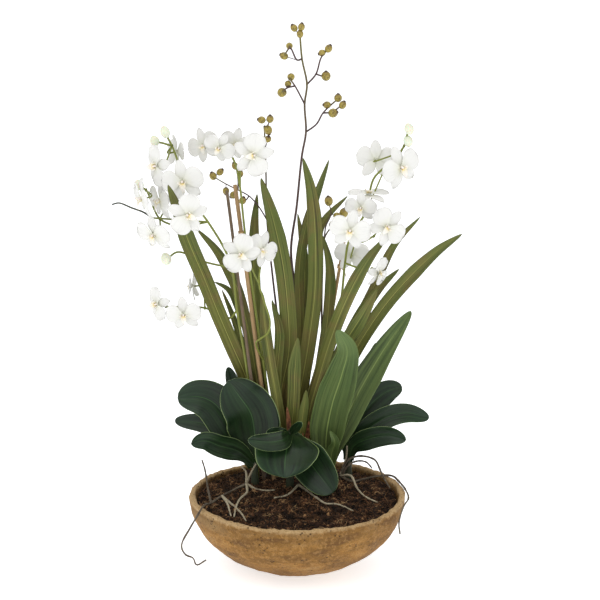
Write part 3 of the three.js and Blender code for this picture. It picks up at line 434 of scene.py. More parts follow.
# Roots lie on the soil or the rim where a place has no depth, and hang free where it has one. The
# lines whose numbers are under dark are dead roots.
ROOTS = {
  "roots_left": {
    "dark": [0, 7],
    "foot": [-84, 36, 4],
    "lines": [
      [
        [236, 489], [222, 496], [211, 503], [203, 506.5, -88], [196, 518, -104], [189.5, 529, -112],
        [182, 543, -118], [182, 549, -116], [186, 555, -113], [193, 558, -109], [196.6, 565, -106],
        [206, 560, -98],
      ],
      [[247, 486], [256, 489], [266, 490.5], [275, 490]],
      [[247, 484], [247, 492], [240, 499], [236, 507], [234, 517]],
      [[238, 503], [241, 513], [246, 521]],
      [[247, 480, 36], [246, 472, 38], [241, 466, 36]],
      [[247, 480, 36], [252, 471, 28], [256, 464, 24]],
      [[222, 496], [227, 503], [231, 516]],
      [[212, 503], [208, 489, 8], [205, 470, 12], [202, 460, 12]],
    ],
  },
  "roots_front": {
    "dark": [],
    "foot": [2, 30, 4],
    "lines": [
      [[306, 490], [317, 498], [326, 503.5], [336, 504], [345, 507], [353, 511]],
      [[297, 488], [287, 495], [274, 498]],
    ],
  },
  "roots_right": {
    "dark": [0, 2, 3],
    "foot": [72, 76, 4],
    "lines": [
      [
        [351, 481], [365, 479], [378, 476], [391, 475.5, 78], [399.5, 482, 44], [406, 490.5, 0],
        [408.5, 498, -30], [403, 508, -72], [399, 523, -84], [400, 534, -88],
      ],
      [[344, 463, 70], [351, 476, 52], [357, 488], [366, 497], [377.5, 502.5]],
      [[341, 470, 76], [350, 464, 70], [358, 461, 74], [366, 462, 70], [372, 468, 64]],
      [
        [341, 470, 76], [348, 460, 72], [361, 456, 66], [375, 460, 58],
        [380, 469.5, 52], [385, 480, 44], [390, 488],
      ],
      [[341, 470, 76], [346, 458, 74], [347, 446, 70]],
    ],
  },
}


def unit(vectors):
    """Each vector divided by its length."""
    return vectors / np.maximum(np.linalg.norm(vectors, axis=-1, keepdims=True), 1e-9)


def ray(across, down):
    """The way from the eye through a place: forward, plus the place's offsets over the focal length."""
    direction = FORWARD + RISE * (VIEW["middle"] - down) / VIEW["focal"]
    direction[0] += (across - VIEW["middle"]) / VIEW["focal"]
    return direction


def place(across, down, depth):
    """The point where the ray of a place meets the plane at that depth."""
    direction = ray(across, down)
    return EYE + direction * (depth - EYE[1]) / direction[1]


def place_at_height(across, down, height):
    """The point where the ray of a place meets the level plane at that height."""
    direction = ray(across, down)
    return EYE + direction * (height - EYE[2]) / direction[2]


def smooth(share):
    """The cubic step 3s^2 - 2s^3 of a share held between 0 and 1."""
    held = np.clip(share, 0, 1)
    return held * held * (3 - 2 * held)


def spline(points, per_span=12):
    """A centripetal Catmull-Rom curve: each span is the cubic whose end slopes are the differences to
    its neighbours over knots spaced by the root of their distance."""
    points = np.asarray(points, float)
    first = 2 * points[0] - points[1]
    last = 2 * points[-1] - points[-2]
    all_points = np.vstack([first, points, last])
    p0, p1, p2, p3 = all_points[:-3], all_points[1:-2], all_points[2:-1], all_points[3:]
    k0, k1, k2 = [
        np.sqrt(np.maximum(np.linalg.norm(b - a, axis=1, keepdims=True), 1e-4))
        for a, b in ((p0, p1), (p1, p2), (p2, p3))
    ]
    start = ((p1 - p0) / k0 - (p2 - p0) / (k0 + k1) + (p2 - p1) / k1) * k1
    end = ((p2 - p1) / k1 - (p3 - p1) / (k1 + k2) + (p3 - p2) / k2) * k1
    t = np.linspace(0, 1, per_span, endpoint=False)[None, :, None]
    p1, p2, start, end = p1[:, None], p2[:, None], start[:, None], end[:, None]
    spans = p1 + start * t + (3 * (p2 - p1) - 2 * start - end) * t**2 + (2 * (p1 - p2) + start + end) * t**3
    return np.vstack([spans.reshape(-1, 3), points[-1:]])


def line_at(points, shares):
    """Points and directions of the curve through points, at shares of its length."""
    curve = spline(points)
    steps = np.linalg.norm(np.diff(curve, axis=0), axis=1)
    reach = np.concatenate([[0], np.cumsum(steps)])
    reach /= reach[-1]
    slopes = np.gradient(curve, reach, axis=0)
    centre = np.stack([np.interp(shares, reach, curve[:, axis]) for axis in range(3)], 1)
    along = np.stack([np.interp(shares, reach, slopes[:, axis]) for axis in range(3)], 1)
    return centre, unit(along)


def trace(start, places, far, ease=1.3):
    """Picture places as points: the depth goes from the first point's to the far one's as share^ease."""
    flat = [place(across, down, start[1]) for across, down in places]
    steps = np.linalg.norm(np.diff(np.array([start, *flat]), axis=0), axis=1)
    reach = np.cumsum(steps) / steps.sum()
    depths = start[1] + (far - start[1]) * reach**ease
    return [start, *(place(*spot, depth) for spot, depth in zip(places, depths))]


def crown_of(foot):
    """The point where a clump's leaves or stem leave its foot, just above the soil."""
    return np.array([foot[0], foot[1], PEG_TOP - CROWN_DROP])


def nearest(points, goal):
    """The one of the points that lies closest to the goal."""
    points = np.asarray(points)
    return points[np.argmin(np.linalg.norm(points - goal, axis=1))]


def form(vertices, quads, triangles=(), marks=None, material=0):
    """One closed form: its points, faces, a mark of three numbers at each point, and its material."""
    vertices = np.asarray(vertices, float).reshape(-1, 3)
    if marks is None:
        marks = np.zeros_like(vertices)
    return {
        "vertices": vertices,
        "quads": np.asarray(quads, int).reshape(-1, 4),
        "triangles": np.asarray(triangles, int).reshape(-1, 3),
        "marks": np.asarray(marks, float).reshape(-1, 3),
        "material": material,
    }


def grid_quads(rows, columns, around=False):
    """The quads of a grid of rows and columns; around joins the last column to the first."""
    index = np.arange(rows * columns).reshape(rows, columns)
    if around:
        index = np.concatenate([index, index[:, :1]], 1)
    corners = [index[:-1, :-1], index[:-1, 1:], index[1:, 1:], index[1:, :-1]]
    return np.stack(corners, -1).reshape(-1, 4)


def slab(top, under, marks, material=0):
    """A thin piece between two grids of points: both faces, and a rim of quads round their border."""
    rows, columns = top.shape[:2]
    count = rows * columns
    faces = grid_quads(rows, columns)
    index = np.arange(count).reshape(rows, columns)
    border = np.concatenate([index[0, :-1], index[:-1, -1], index[-1, :0:-1], index[:0:-1, 0]])
    ahead = np.roll(border, -1)
    rim = np.stack([border, border + count, ahead + count, ahead], 1)
    quads = np.concatenate([faces, faces[:, ::-1] + count, rim])
    points = np.concatenate([top.reshape(-1, 3), under.reshape(-1, 3)])
    return form(points, quads, marks=np.tile(marks.reshape(-1, 3), (2, 1)), material=material)


def sleeve(rings, marks, material=0):
    """A closed skin through rings of points, with a fan of triangles round the middle of each end."""
    rows, sides = rings.shape[:2]
    low, high = rings[0].mean(0), rings[-1].mean(0)
    step = np.arange(sides)
    ahead = (step + 1) % sides
    last = (rows - 1) * sides
    count = rows * sides
    start = np.stack([np.full(sides, count), ahead, step], 1)
    end = np.stack([np.full(sides, count + 1), last + step, last + ahead], 1)
    points = np.vstack([rings.reshape(-1, 3), low, high])
    grid_marks = marks.reshape(-1, 3)
    all_marks = np.vstack([grid_marks, grid_marks[:1], grid_marks[-1:]])
    return form(points, grid_quads(rows, sides, True), np.concatenate([start, end]), all_marks, material)


def tube(centre, along, radius, sides=8, material=0, tone=0.0):
    """Circles round a line: centre + radius (cos a * across + sin a * other), where across is square to
    the line and to the world axis that the line follows least. A mark is (angle, share, tone)."""
    axis = np.eye(3)[np.argmin(np.abs(along).max(0))]
    across = unit(np.cross(axis, along))
    other = np.cross(along, across)
    angle = np.linspace(0, 2 * math.pi, sides, endpoint=False)
    radius = np.broadcast_to(np.asarray(radius, float).reshape(len(centre), -1), (len(centre), sides))
    spokes = across[:, None] * np.cos(angle)[:, None] + other[:, None] * np.sin(angle)[:, None]
    rings = centre[:, None] + spokes * radius[..., None]
    share = np.linspace(0, 1, len(centre))[:, None] + 0 * angle
    marks = np.stack([angle / (2 * math.pi) + 0 * share, share, np.full_like(share, tone)], -1)
    return sleeve(rings, marks, material)


def rod(points, radius, rows=24, sides=8, material=0, tone=0.0):
    """A tube along the curve through points, with its radius as a function of the share."""
    share = np.linspace(0, 1, rows)
    centre, along = line_at(points, share)
    return tube(centre, along, radius(share), sides, material, tone)


def thins(first, loss):
    """A radius that thins evenly from its first value by a loss over the whole length."""
    return lambda share: first - loss * share


def egg(centre, axis, length, width, sides=14, rows=10, ribs=0.0, point=0.0, material=0, tone=0.0):
    """An egg: at angle a from its low end it lies -cos(a) * length / 2 along its axis and is sin(a) *
    width / 2 round, less towards a pointed top, with five shallow ribs."""
    angle = np.linspace(0.06 * math.pi, 0.97 * math.pi, rows)
    direction = unit(np.asarray(axis, float))
    middle = centre + direction * (-np.cos(angle) * length / 2)[:, None]
    around = np.linspace(0, 2 * math.pi, sides, endpoint=False)
    slim = 1 - point * np.clip(-np.cos(angle), 0, 1) ** 2
    radius = (np.sin(angle) * slim * width / 2)[:, None] * (1 + ribs * np.cos(5 * around))
    return tube(middle, np.tile(direction, (rows, 1)), radius, sides, material, tone)


def add_piece(name, node, forms, materials):
    """Joins forms into one mesh, keeps their marks as an attribute, and lets it stand for the node."""
    counts = np.cumsum([0] + [len(f["vertices"]) for f in forms])
    vertices = np.concatenate([f["vertices"] for f in forms]) * MM
    quads = [f["quads"] + start for f, start in zip(forms, counts)]
    triangles = [f["triangles"] + start for f, start in zip(forms, counts)]
    kinds = [np.full(len(f["quads"]), f["material"]) for f in forms]
    kinds += [np.full(len(f["triangles"]), f["material"]) for f in forms]
    faces = [face for group in quads + triangles for face in group.tolist()]
    mesh = bpy.data.meshes.new(name)
    mesh.from_pydata(vertices.tolist(), [], faces)
    mesh.polygons.foreach_set("material_index", np.concatenate(kinds).astype(np.int32))
    mesh.polygons.foreach_set("use_smooth", np.ones(len(mesh.polygons), bool))
    marks = np.concatenate([f["marks"] for f in forms]).astype(np.float32)
    mesh.attributes.new("mark", "FLOAT_VECTOR", "POINT").data.foreach_set("vector", marks.ravel())
    for material in materials:
        mesh.materials.append(material)
    mesh.update()
    piece = bpy.data.objects.new(name, mesh)
    bpy.context.scene.collection.objects.link(piece)
    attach(piece, "root")
    if node:
        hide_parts(node)


def waves(points, length, count, seed):
    """A smooth uneven field from about -1 to 1: the mean of plane waves of about the given length, with
    seeded directions and starts, times the root of their count."""
    chance = np.random.default_rng(seed)
    ways = unit(chance.normal(size=(count, 3))) * (2 * math.pi / length)
    ways = ways * chance.uniform(0.6, 1.5, (count, 1))
    starts = chance.uniform(0, 2 * math.pi, count)
    return np.sin(points @ ways.T + starts).sum(-1) / math.sqrt(count)


def uneven(points, layers):
    """The sum of the layers' waves, each times its height."""
    return sum(height * waves(points, length, count, seed) for height, length, count, seed in layers)


def bowl_radius(height, inset):
    """The radius of the flattened ball at a height: its radius times the root of 1 less the square of
    the drop below the rim over its depth."""
    down = np.maximum(0, BOWL["height"] - np.asarray(height, float))
    return (BOWL["radius"] - inset) * np.sqrt(np.maximum(0, 1 - (down / (BOWL["depth"] - inset)) ** 2))


def rim_wave(angle):
    """How far the rim rises at an angle: a sum of slow sines."""
    return sum(size * np.sin(count * angle + turn) for count, size, turn in RIM_WAVES)


def soil_height(x, y):
    """The top of the filling: a low dome that falls with the square of the radius, with crumbs on it."""
    out = np.hypot(x, y) / (BOWL["radius"] - BOWL["wall"])
    crumbs = np.sin(x / 11 + 1.7) * np.sin(y / 9 + 0.4) + 0.6 * np.sin(x / 5.3 + y / 6.1)
    return SOIL["crown"] - (SOIL["crown"] - SOIL["edge"]) * out * out + crumbs


def turned(radius, height, swell):
    """A closed turned form from rows of radius and height: swell(points) moves each point outwards
    from the form, along the profile's normal. A mark is (angle, share of the profile, 0)."""
    sides = 240
    angle = np.linspace(0, 2 * math.pi, sides, endpoint=False)
    lift = rim_wave(angle) * np.maximum(0, height[:, None] / BOWL["height"] - 0.5) * 2
    rise = height[:, None] + lift
    rings = np.stack([radius[:, None] * np.cos(angle), radius[:, None] * np.sin(angle), rise], -1)
    slope = unit(np.stack([np.gradient(height), -np.gradient(radius)], 1))
    normal = np.stack(
        [slope[:, :1] * np.cos(angle), slope[:, :1] * np.sin(angle), slope[:, 1:] + 0 * angle],
        -1,
    )
    rings = rings + normal * swell(rings)[..., None]
    share = np.linspace(0, 1, len(radius))[:, None] + 0 * angle
    marks = np.stack([angle / (2 * math.pi) + 0 * share, share, 0 * share], -1)
    return sleeve(rings, marks)


def make_bowl():
    """The bowl: the ball's radius outside, a half round of the wall's thickness on the rim, and the
    ball's radius less the wall inside, with lumps all over and a rim that is worn uneven."""
    shoulder = 117
    rounding = 4.2
    outer = np.concatenate([[0, 0.01], np.linspace(1.5, shoulder, 60)])
    outer_radius = np.maximum(BOWL["foot"], bowl_radius(outer, 0))
    outer_radius[0] = BOWL["foot"] - 3
    turn = np.linspace(0, math.pi, 14)
    lip = BOWL["wall"] / 2
    rim_radius = BOWL["radius"] - lip + lip * np.cos(turn)
    rim_height = BOWL["height"] - rounding + rounding * np.sin(turn)
    inner = np.linspace(shoulder, BOWL["floor"], 22)
    inner_radius = bowl_radius(inner, BOWL["wall"])
    radius = np.concatenate([outer_radius, rim_radius, inner_radius])
    height = np.concatenate([outer, rim_height, inner])

    def swell(points):
        """Lumps all over, and wear that fades out some 9 mm from the rim; none at the foot's edge."""
        rough = uneven(points, CLAY_LUMPS)
        near_rim = np.exp(-(((points[..., 2] - BOWL["height"]) / 9) ** 2))
        worn = near_rim * uneven(points, RIM_WEAR)
        return (rough + worn - 0.5) * smooth(points[..., 2] / 6)

    add_piece("bowl_fine", "bowl", [turned(radius, height, swell)], [CLAY])


def scrap_tone(base, chance):
    """The tone of each scrap: random, and darker or lighter by patches some centimetres wide."""
    return np.clip(0.75 * chance.uniform(-1, 1, len(base)) + 0.4 * waves(base, 26, 16, 7), -1, 1)


def scattered(scraps, chance):
    """Random places of scraps, even over the filling's disc, a little under its top or over it."""
    count = scraps["count"]
    reach = scraps["reach"] * np.sqrt(chance.uniform(0, 1, count))
    angle = chance.uniform(0, 2 * math.pi, count)
    x, y = reach * np.cos(angle), reach * np.sin(angle)
    return np.stack([x, y, soil_height(x, y) + chance.uniform(*scraps["over"], count)], 1)


def make_fibres(chance):
    """Loose curly fibres on the filling, all at once: each is a three-sided strand along five points
    of an arc that starts at a random place and bends and rises at random. None lies deeper than its
    least height over the filling, or reaches past the filling's edge."""
    count = FIBRES["count"]
    sunk = FIBRES["over"][0]
    base = scattered(FIBRES, chance)
    heading = chance.uniform(0, 2 * math.pi, count)[:, None]
    bend = chance.normal(0, 1.5, count)[:, None]
    step = np.linspace(-0.5, 0.5, 5)[None, :]
    size = chance.uniform(*FIBRES["length"], count)[:, None]
    way = heading + bend * step
    rise = chance.normal(0, 0.55, count)[:, None] * step * size + 0.7 * size * (0.25 - step**2)
    centre = base[:, None] + np.stack([size * step * np.cos(way), size * step * np.sin(way), rise], -1)
    centre[..., 2] = np.maximum(centre[..., 2], soil_height(centre[..., 0], centre[..., 1]) + sunk)
    out = np.hypot(centre[..., 0], centre[..., 1])
    held = np.minimum(1, FIBRES["reach"] / np.maximum(out, 1))
    centre[..., :2] *= held[..., None]
    along = unit(np.gradient(centre, axis=1))
    across = unit(np.cross([0.0, 0.0, 1.0], along))
    other = np.cross(along, across)
    around = np.array([0, 2, 4]) * math.pi / 3
    taper = np.array([0.45, 0.9, 1, 0.85, 0.4])[None, :, None, None]
    radius = chance.uniform(*FIBRES["radius"], count)[:, None, None, None] * taper
    spokes = across[:, :, None] * np.cos(around)[:, None] + other[:, :, None] * np.sin(around)[:, None]
    points = centre[:, :, None] + spokes * radius
    tone = np.broadcast_to(scrap_tone(base, chance)[:, None, None], points.shape[:3])
    marks = np.stack([0 * tone, 0 * tone + 0.5, tone], -1)
    starts = (np.arange(count) * taper.size * around.size)[:, None, None]
    quads = (grid_quads(5, 3, True)[None] + starts).reshape(-1, 4)
    caps = (np.array([[0, 2, 1], [12, 13, 14]])[None] + starts).reshape(-1, 3)
    return form(points, quads, caps, marks)


def make_chips(chance):
    """Chips of bark, all at once: flat blocks with pinched corners, each turned at random and half sunk
    in the filling."""
    count = CHIPS["count"]
    base = scattered(CHIPS, chance)
    corners = np.array([[a, b, c] for a in (-1, 1) for b in (-1, 1) for c in (-1, 1)], float)
    size = np.stack([chance.uniform(*side, count) for side in CHIPS["sides"]], 1)
    block = corners[None] * size[:, None] * chance.uniform(0.6, 1, (count, 8, 3))
    frames = np.linalg.qr(chance.normal(size=(count, 3, 3)))[0]
    frames[:, :, 0] *= np.sign(np.linalg.det(frames))[:, None]
    points = base[:, None] + block @ np.transpose(frames, (0, 2, 1))
    tone = np.broadcast_to(scrap_tone(base, chance)[:, None], points.shape[:2])
    marks = np.stack([0 * tone, 0 * tone, tone], -1)
    faces = [[0, 1, 3, 2], [4, 6, 7, 5], [0, 4, 5, 1], [2, 3, 7, 6], [0, 2, 6, 4], [1, 5, 7, 3]]
    quads = (np.array(faces)[None] + (np.arange(count) * len(corners))[:, None, None]).reshape(-1, 4)
    return form(points, quads, marks=marks)


def make_soil():
    """The filling: its wall follows the bowl's inside a millimetre off it, and its top is the crumbly
    dome with a finer grain on it, painted darker in the grain's hollows as shade. Bark chips and coir
    fibres lie loose on top."""
    sides = 220
    angle = np.linspace(0, 2 * math.pi, sides, endpoint=False)
    wall = np.linspace(BOWL["floor"] + SOIL["under"], SOIL["shoulder"], 14)
    wall_radius = bowl_radius(wall, BOWL["wall"] + SOIL["gap"])
    edge = bowl_radius(SOIL["shoulder"] - 1, BOWL["wall"] + SOIL["gap"])
    top_radius = edge * (1 - np.linspace(0, 0.995, 120))
    radius = np.concatenate([wall_radius, top_radius])[:, None]
    x, y = radius * np.cos(angle), radius * np.sin(angle)
    flat = np.stack([x, y, 0 * x], -1)
    grain = uneven(flat, SOIL_GRAIN)
    top = soil_height(x, y) + grain
    rows = np.arange(len(radius))[:, None] >= len(wall)
    height = np.where(rows, top, np.concatenate([wall, np.zeros(len(top_radius))])[:, None])
    rings = np.stack([x, y, height], -1)
    # The bed's tone is half the grain's height: darker in its hollows and lighter on its crests, which is
    # painted shade in the hollows.
    marks = np.stack([0 * x, 0 * x, grain / 2], -1)
    add_piece("soil_fine", "soil", [sleeve(rings, marks)], [SOIL_DARK])
    chance = np.random.default_rng(SEED)
    add_piece("bark_chips", None, [make_chips(chance)], [BARK])
    add_piece("coir_fibres", None, [make_fibres(chance)], [COIR])


def strap_half(width):
    """Half the width of a strap leaf: the smooth step opens it from 0.4 over the first 0.35, and over
    the last fifth it closes as what is left to the power 0.55."""
    return lambda share: np.maximum(
        0.4,
        width / 2 * (0.4 + 0.6 * smooth(share / 0.35)) * np.clip((1 - share) / 0.2, 0, 1) ** 0.55,
    )


def oval_half(width):
    """Half the width of an orchid leaf: the smooth step opens it from 0.36 over the first 0.48, and
    the root of 1 - s^5 closes it in a round tip."""
    return lambda share: np.maximum(
        0.5,
        width / 2 * (0.36 + 0.64 * smooth(share / 0.48)) * np.sqrt(np.clip(1 - share**5, 0, 1)),
    )


def lance_half(width):
    """Half the width of a lance leaf: the smooth step opens it from 0.26 over the first 0.36, and over
    the last 0.4 the root of what is left closes it in a blunt point."""
    return lambda share: np.maximum(
        0.4,
        width / 2 * (0.26 + 0.74 * smooth(share / 0.36)) * np.clip((1 - share) / 0.4, 0, 1) ** 0.5,
    )


def blade(points, half, face=0, fold=0.2, thick=STRAP, rows=44, columns=13, wave=0.5, tone=0.0, crease=0.4):
    """A leaf blade along the curve through points. At the share u across it lies u * half from the
    midrib, lifted by fold * half * u^2 and by a crease at the midrib, with slow waves at its edges."""
    share = 1 - (1 - np.linspace(0, 1, rows)) ** 1.25
    centre, along = line_at(points, share)
    side = unit(np.cross(FORWARD, along))
    turn = math.radians(face)
    side = side * math.cos(turn) + np.cross(along, side) * math.sin(turn)
    up = unit(np.cross(side, along))
    u = np.linspace(-1, 1, columns)
    reach = half(share)[:, None]
    lift = fold * reach * u * u + crease * (1 - np.exp(-((u / 0.12) ** 2))) * smooth(reach / 4)
    lift = lift + wave * np.abs(u) ** 3 * np.sin(share[:, None] * 15 + 3 * np.sign(u) + 9 * tone)
    middle = centre[:, None] + side[:, None] * (reach * u)[..., None] + up[:, None] * lift[..., None]
    wall = up[:, None] * (thick / 2 * (1 - 0.55 * np.abs(u)))[:, None]
    marks = np.stack([u + 0 * reach, share[:, None] + 0 * u, np.full((rows, columns), tone)], -1)
    return slab(middle + wall, middle - wall, marks)


def sheath(foot, radius, top):
    """The base of a clump: a short rounded stub from a little under the soil up to its crown."""
    low = np.array([foot[0], foot[1], soil_height(foot[0], foot[1]) - 6.0])
    high = np.array([foot[0], foot[1], top])

    def swell(share):
        """The radius, less towards the top by the root of 1 - 0.82 s^3, with a slight ripple."""
        rounded = np.sqrt(np.clip(1 - 0.82 * share**3, 0, 1))
        return radius * rounded * (1 + 0.06 * np.sin(9 * share))

    return rod([low, low * 0.5 + high * 0.5, high], swell, rows=12, sides=14, material=1)


def leaves_of(clump, crown, half, tones, ease=1.3, **shape):
    """A clump's blades, each from the crown along its places, as wide as half says, with a tone of its
    own from the two numbers in tones, and with the clump's shape of blade or its own turn and fold."""
    first, step = tones
    blades = []
    for k, leaf in enumerate(clump["leaves"]):
        points = trace(crown, leaf["at"], leaf["far"], leaf.get("ease", ease))
        own = {key: leaf[key] for key in ("face", "fold") if key in leaf}
        blades.append(blade(points, half(leaf["width"]), tone=math.sin(step * k + first), **{**shape, **own}))
    return blades


def make_strap_clumps():
    """Clumps of strap leaves in a dry sheath. The front one has rusty bracts at its foot."""
    for number, (name, clump) in enumerate(STRAP_CLUMPS.items()):
        crown = crown_of(clump["foot"])
        forms = [sheath(clump["foot"], clump["foot"][2] + 1.0, PEG_TOP + 1.0)]
        forms += leaves_of(clump, crown, strap_half, (2.3 * number, 5.1), rows=52)
        for places, width in clump.get("bracts", []):
            bract = blade(trace(crown, places, 48), strap_half(width), face=20, fold=0.8, rows=16, columns=7)
            bract["material"] = 2
            forms.append(bract)
        add_piece(name + "_fine", name, forms, [STRAP_LEAF, DRY_SHEATH, RUSTY_BRACT])


def make_lance_clump():
    """The clump of broad lance leaves in a dry sheath."""
    foot = LANCE_CLUMP["foot"]
    forms = [sheath(foot, foot[2] + 1.0, PEG_TOP + 1.0)]
    forms += leaves_of(LANCE_CLUMP, crown_of(foot), lance_half, (0, 3.7), rows=56, columns=17, wave=0.8)
    add_piece("lance_leaves_fine", "lance_leaves", forms, [LANCE_LEAF, DRY_SHEATH])


def make_rosettes():
    """Rosettes of thick oval leaves, each round a stub that lifts its crown above the soil."""
    shape = {"fold": 0.22, "thick": LEAF, "rows": 44, "columns": 21, "wave": 0.9, "crease": 1.0}
    for number, (name, rosette) in enumerate(ROSETTES.items()):
        crown = crown_of(rosette["foot"])
        crown[2] += rosette["rise"]
        forms = [sheath(rosette["foot"], STUB, crown[2] + STUB)]
        forms += leaves_of(rosette, crown, oval_half, (1.9 * number, 4.3), 1, **shape)
        add_piece(name + "_fine", name, forms, [ORCHID_LEAF, LEAF_BASE])


def bloom_frame(bloom):
    """A bloom's middle, and a matrix whose rows are its right, its up and the way out of its face."""
    azimuth, elevation = map(math.radians, bloom["faces"])
    level = math.cos(elevation)
    out = np.array([math.sin(azimuth) * level, -math.cos(azimuth) * level, math.sin(elevation)])
    right = np.array([math.cos(azimuth), math.sin(azimuth), 0.0])
    roll = math.radians(-bloom["roll"])
    right = right * math.cos(roll) + np.cross(out, right) * math.sin(roll)
    return place(*bloom["at"]), np.stack([right, np.cross(out, right), out])


def petal_half(width, broad):
    """Half the width of a tepal: a narrow claw that opens to its widest part and closes in a round end."""
    widest = 0.56 if broad else 0.5
    claw = 0.2 if broad else 0.34
    power = 2.3 if broad else 1.8

    def half(share):
        """The claw's width goes smoothly to the full one, then falls as (1 - c^p)^(1/p)."""
        opening = claw + (1 - claw) * smooth(share / widest)
        closing = np.clip((share - widest) / (1 - widest), 0, 1)
        return width / 2 * opening * np.maximum(0.04, (1 - closing**power) ** (1 / power))

    return half


def petal_surface(half, outline, rows=14, columns=11, material=0, tone=0.0):
    """A petal as a slab: outline(share, u, reach) gives the points of its middle surface, and the
    two faces lie half a thickness above and under it along its normals."""
    share = 1 - (1 - np.linspace(0, 1, rows)[:, None]) ** 1.6
    u = np.linspace(-1, 1, columns)[None, :]
    reach = half(share)
    middle = outline(share + 0 * u, u + 0 * share, reach)
    normal = unit(np.cross(np.gradient(middle, axis=1), np.gradient(middle, axis=0)))
    marks = np.stack([u + 0 * share, share + 0 * u, np.full(middle.shape[:2], tone)], -1)
    return slab(middle + normal * PETAL / 2, middle - normal * PETAL / 2, marks, material)


def tepal(angle, length, width, height, bend, phase):
    """A tepal of the disc: it runs out at its angle, cupped, bent back at its end, with a waved edge."""
    turn = math.radians(angle)
    broad = width > 20

    def outline(share, u, reach):
        """Runs out with the share and across with u: bent by s^2, cupped by u^2, with a keel in the
        middle and an edge that waves more towards the end."""
        x = length * share * math.cos(turn) - u * reach * math.sin(turn)
        y = length * share * math.sin(turn) + u * reach * math.cos(turn)
        wave = (1.5 if broad else 0.8) * np.sin(2.2 * math.pi * u + phase) * share**3 * np.abs(u) ** 0.7
        cup = (2.4 if broad else 1.5) * u * u * share * (1 - 0.4 * share) - 1.2 * (1 - u * u) * share**3
        keel = -0.35 * np.exp(-((u / 0.14) ** 2)) * (1 - share)
        return np.stack([x, y, height + bend * share**2 + wave + cup + keel], -1)

    return petal_surface(petal_half(width, broad), outline, tone=phase)


def lobe_half(widest, power):
    """Half the width of a lobe of the lip: its widest, times a power of the sine over most of a half turn."""
    return lambda share: widest * np.sin(math.pi * (0.14 + 0.8 * share)) ** power


def middle_lobe(phase):
    """The middle lobe: it runs out and bends down, hollow across near its base, waved at its end."""

    def outline(share, u, reach):
        """Across with u, out by s and s^2, up and then down by s and s^2, and lifted by u^2 at the base."""
        y = -0.8 - 4 * share - 9 * share**2 - 0.8 * np.sin(7 * u + phase) * share**4
        z = 2.2 + 12 * share - 5.6 * share**2 + 1.6 * u * u * (1 - share)
        return np.stack([u * reach, y, z], -1)

    return petal_surface(lobe_half(5.2, 0.8), outline, rows=10, columns=7, material=1, tone=phase)


def side_lobe(phase, sign):
    """A side lobe: it leaves the column to its side and stands up and outwards, with a waved end."""

    def outline(share, u, reach):
        """Outwards, in and up evenly with s, its width leaning across, with a wave of s^2."""
        x = sign * (2.4 + 4.2 * share + 0.6 * u * u)
        y = -1.8 + 3.4 * share - sign * 0.62 * u * reach
        z = 2.4 + 6.6 * share + sign * 0.78 * u * reach + 0.5 * np.sin(6 * u + phase) * share**2
        return np.stack([x, y, z], -1)

    return petal_surface(lobe_half(3.4, 0.7), outline, rows=8, columns=5, material=1, tone=phase)


def lip_parts(phase):
    """The lip: a middle lobe, two side lobes that stand up beside the column, two threads at the tip,
    a yellow callus and the column itself."""
    forms = [middle_lobe(phase)]
    for sign in (-1, 1):
        forms.append(side_lobe(phase, sign))
        thread = np.array([[sign * 0.7, -13.0, 8.2], [sign * 2.4, -15.4, 9.4], [sign * 1.2, -16.8, 7.8]])
        forms.append(rod(thread, thins(*THIN["lip_thread"]), rows=6, sides=4, material=1))
    forms.append(egg(np.array([0, -2.2, 5.2]), (0, -0.3, 1), *ROUND["callus"], 8, 6, material=2))
    forms.append(egg(np.array([0, 1.4, 4.0]), (0, -0.25, 1), *ROUND["column"], 10, 8, material=3))
    return forms


def make_blooms():
    """Every bloom: five tepals, the parts of its lip and a hub, turned to face its own way."""
    for number, (name, bloom) in enumerate(BLOOMS.items()):
        middle, matrix = bloom_frame(bloom)
        phase = 1.7 * number
        forms = [tepal(*row, phase + k) for k, row in enumerate(TEPALS)]
        forms += lip_parts(phase)
        forms.append(egg(np.array([0, 0, -0.2]), (0, 0, 1), *ROUND["hub"], 12, 6))
        scale = np.array([bloom["size"], bloom["size"], 1.0])
        for one in forms:
            one["vertices"] = middle + (one["vertices"] * scale) @ matrix
        add_piece(f"bloom_{name}_fine", f"bloom_{name}", forms, [PETAL_WHITE, LIP, CALLUS, COLUMN])


def bloom_back(name, clear):
    """The point at a clear distance behind a bloom, on its axis."""
    middle, matrix = bloom_frame(BLOOMS[name])
    return middle - matrix[2] * clear


def spot_point(spot):
    """A place at its depth, or else just over the soil or the rim under it."""
    if len(spot) == 3:
        return place(*spot)
    first = place_at_height(*spot, SOIL["crown"])
    ground = soil_height(first[0], first[1])
    if math.hypot(first[0], first[1]) > RIM_REACH:
        ground = BOWL["height"]
    return place_at_height(*spot, ground + ROOT_LIFT)


def lines_of(plant):
    """The lines of a stem or a set of roots: the first leaves the crown of its foot, and each other
    one leaves the first at its nearest point."""
    main = [crown_of(plant["foot"]), *map(spot_point, plant["lines"][0])]
    lines = [main]
    for line in plant["lines"][1:]:
        points = [spot_point(spot) for spot in line]
        lines.append([nearest(main, points[0]), *points[1:]])
    return lines


